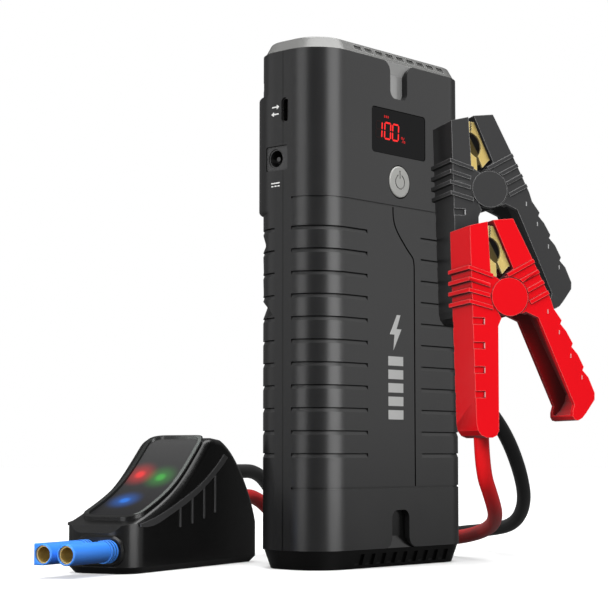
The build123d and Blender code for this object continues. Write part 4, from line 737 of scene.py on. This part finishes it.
for colour, pivot in PIVOTS.items():
    # Each pale strip is a painted highlight on the edge of a notch.
    pale = moulded(f"{colour}_mark", NOTCH_HIGHLIGHT_COLOURS[colour], rough=0.35, grain=0.03)
    near = Place(pivot, CLAMP_X, -CLAMP_AWAY)
    far = Place(Vector(pivot) + CLAMP_AWAY * CLAMP_THICK, CLAMP_X, CLAMP_AWAY)
    for face, side, mirror in ((near, "near", 1), (far, "far", -1)):
        fixed = [rectangle(x, mirror * y, MARK_W, FIXED_MARK_H) for x, y in FIXED_NOTCH_HIGHLIGHTS]
        moving = [rectangle(x, mirror * y, MARK_W, MOVING_MARK_H) for x, y in MOVING_NOTCH_HIGHLIGHTS]
        plates(f"{colour}_fixed_marks_{side}", face, fixed, *MARK_LAYER, pale, "lead_set",
               f"clamp_{colour}")
        plates(f"{colour}_moving_marks_{side}", face, moving, *MARK_LAYER, pale, f"{colour}_jaw",
               f"clamp_{colour}")


# ---------------------------------------------------------------- floor and world
def shown_to_camera(tree, shown, hidden):
    """Mixes two shaders: one for what the camera sees directly, the other for all other rays."""
    path = add_node(tree, "ShaderNodeLightPath")
    mix = add_node(tree, "ShaderNodeMixShader")
    link(tree, path.outputs["Is Camera Ray"], mix.inputs[0])
    link(tree, hidden, mix.inputs[1])
    link(tree, shown, mix.inputs[2])
    return mix.outputs[0]


def grey(level):
    return (level, level, level, 1)


# The floor lies a hair below the feet.  It and the world are white to the camera and dim otherwise.
FLOOR_HALF, FLOOR_DROP = 4.0, 0.00002
FLOOR_WHITE, FLOOR_DIM = grey(0.93), grey(0.07)
WORLD_SHOWN, WORLD_LIGHT = 1.0, 0.15

floor_material = bpy.data.materials.new("floor")
floor_material.use_nodes = True
tree = floor_material.node_tree
tree.nodes.clear()
output = add_node(tree, "ShaderNodeOutputMaterial")
white = add_node(tree, "ShaderNodeBsdfDiffuse", Color=FLOOR_WHITE)
dim = add_node(tree, "ShaderNodeBsdfDiffuse", Color=FLOOR_DIM)
link(tree, shown_to_camera(tree, white.outputs[0], dim.outputs[0]), output.inputs["Surface"])
corners = [(x * FLOOR_HALF, y * FLOOR_HALF, -FLOOR_DROP)
           for x, y in ((-1, -1), (1, -1), (1, 1), (-1, 1))]
floor_mesh = bpy.data.meshes.new("floor")
floor_mesh.from_pydata(corners, [], [(0, 1, 2, 3)])
floor_mesh.materials.append(floor_material)
floor = bpy.data.objects.new("floor", floor_mesh)
bpy.context.scene.collection.objects.link(floor)

world = bpy.data.worlds.new("studio")
bpy.context.scene.world = world
world.use_nodes = True
tree = world.node_tree
tree.nodes.clear()
output = add_node(tree, "ShaderNodeOutputWorld")
bright = add_node(tree, "ShaderNodeBackground", Color=grey(1), Strength=WORLD_SHOWN)
soft = add_node(tree, "ShaderNodeBackground", Color=grey(1), Strength=WORLD_LIGHT)
link(tree, shown_to_camera(tree, bright.outputs[0], soft.outputs[0]), output.inputs["Surface"])

# ---------------------------------------------------------------- lights
AIM = Vector((0, 0, 0.09))                     # the middle of the pack, which all softboxes face
CASE = [nodes[name] for name in ("front_shell", "rear_shell", "top_cap", "bottom_cap")]
GLOSSY = CASE + [nodes[name] for name in (
    "power_button", "dc_jack", "module_upper_shell", "module_lower_shell", "plug_collar",
    "jump_plug", "plug_contacts")]
# The module throws no shadow of the key and the fill on the pack behind it.
LOW_NAMES = ("module_", "plug_", "jump_plug", "cable_")
TALL = [nodes[name] for name in nodes if not name.startswith(LOW_NAMES)]
BLACK_CLAMP = [nodes[name] for name in nodes if name.startswith("black_clamp")]
THE_REST = [piece for piece in bpy.context.scene.objects if piece not in BLACK_CLAMP]

# Each softbox's name, turn to the camera's right and lift above the horizon in degrees, width and
# height in metres, and power in watts.
STRIPS = [
    ("strip_left", -44, 4, 0.52, 1.5, 4.6),
    ("strip_right", 49, 4, 0.66, 1.5, 11.6),
    ("low_left", -44, -20, 0.4, 0.8, 1.6),
    ("low_right", 54, -20, 0.8, 0.8, 7.0),
    ("panel_left", -92, 6, 0.9, 1.3, 1.9),
    ("panel_right", 94, 6, 0.9, 1.3, 2.8),
]
KEY = ("key", 9, 30, 0.9, 0.9, 16)
FILL = ("fill", -52, 26, 0.9, 0.9, 19)
FILL_BLACK = ("fill_black", -52, 26, 0.9, 0.9, 6)
STRIP_AWAY, KEY_AWAY = 1.0, 1.6
SUN_AT, SUN_ENERGY, SUN_SPREAD, SUN_TILT = (0, 0, 2), 3.3, radians(70), radians(13)


def group(name, members):
    """A collection outside the scene, for a light's list of pieces."""
    made = bpy.data.collections.new(name)
    for member in members:
        made.objects.link(member)
    return made


def softbox(name, turn, lift, width, height, power, away, blockers, diffuse=True, glossy=True,
            only=None):
    """A rectangular light that faces the pack; only lists the pieces it lights, and blockers those
    that cast its shadows."""
    data = bpy.data.lights.new(name, "AREA")
    data.shape = "RECTANGLE"
    data.size, data.size_y = width, height
    data.energy = power
    level = TO_CAMERA * cos(radians(turn)) + TO_RIGHT * sin(radians(turn))
    outward = level * cos(radians(lift)) + Vector((0, 0, 1)) * sin(radians(lift))
    lamp = bpy.data.objects.new(name, data)
    lamp.location = AIM + outward * away
    lamp.rotation_euler = (-outward).to_track_quat("-Z", "Y").to_euler()
    lamp.visible_camera = False
    lamp.visible_diffuse = diffuse
    lamp.visible_glossy = glossy
    if only:
        lamp.light_linking.receiver_collection = group(f"{name}_lights", only)
    lamp.light_linking.blocker_collection = group(f"{name}_blockers", blockers)
    bpy.context.scene.collection.objects.link(lamp)


# The strips only show as highlights on the pack and the module, so the clamps stay evenly lit.
for strip in STRIPS:
    softbox(*strip, STRIP_AWAY, CASE, diffuse=False, only=GLOSSY)
softbox(*KEY, KEY_AWAY, TALL, glossy=False)
softbox(*FILL, KEY_AWAY, TALL, glossy=False, only=THE_REST)
softbox(*FILL_BLACK, KEY_AWAY, TALL, glossy=False, only=BLACK_CLAMP)

# A wide sun, nearly overhead, keeps the whole floor white and its contact shadows soft.
sun_data = bpy.data.lights.new("overhead", "SUN")
sun_data.energy = SUN_ENERGY
sun_data.angle = SUN_SPREAD
sun = bpy.data.objects.new("overhead", sun_data)
sun.location = SUN_AT
shine = -TO_RIGHT * sin(SUN_TILT) - Vector((0, 0, cos(SUN_TILT)))
sun.rotation_euler = shine.to_track_quat("-Z", "Y").to_euler()
bpy.context.scene.collection.objects.link(sun)
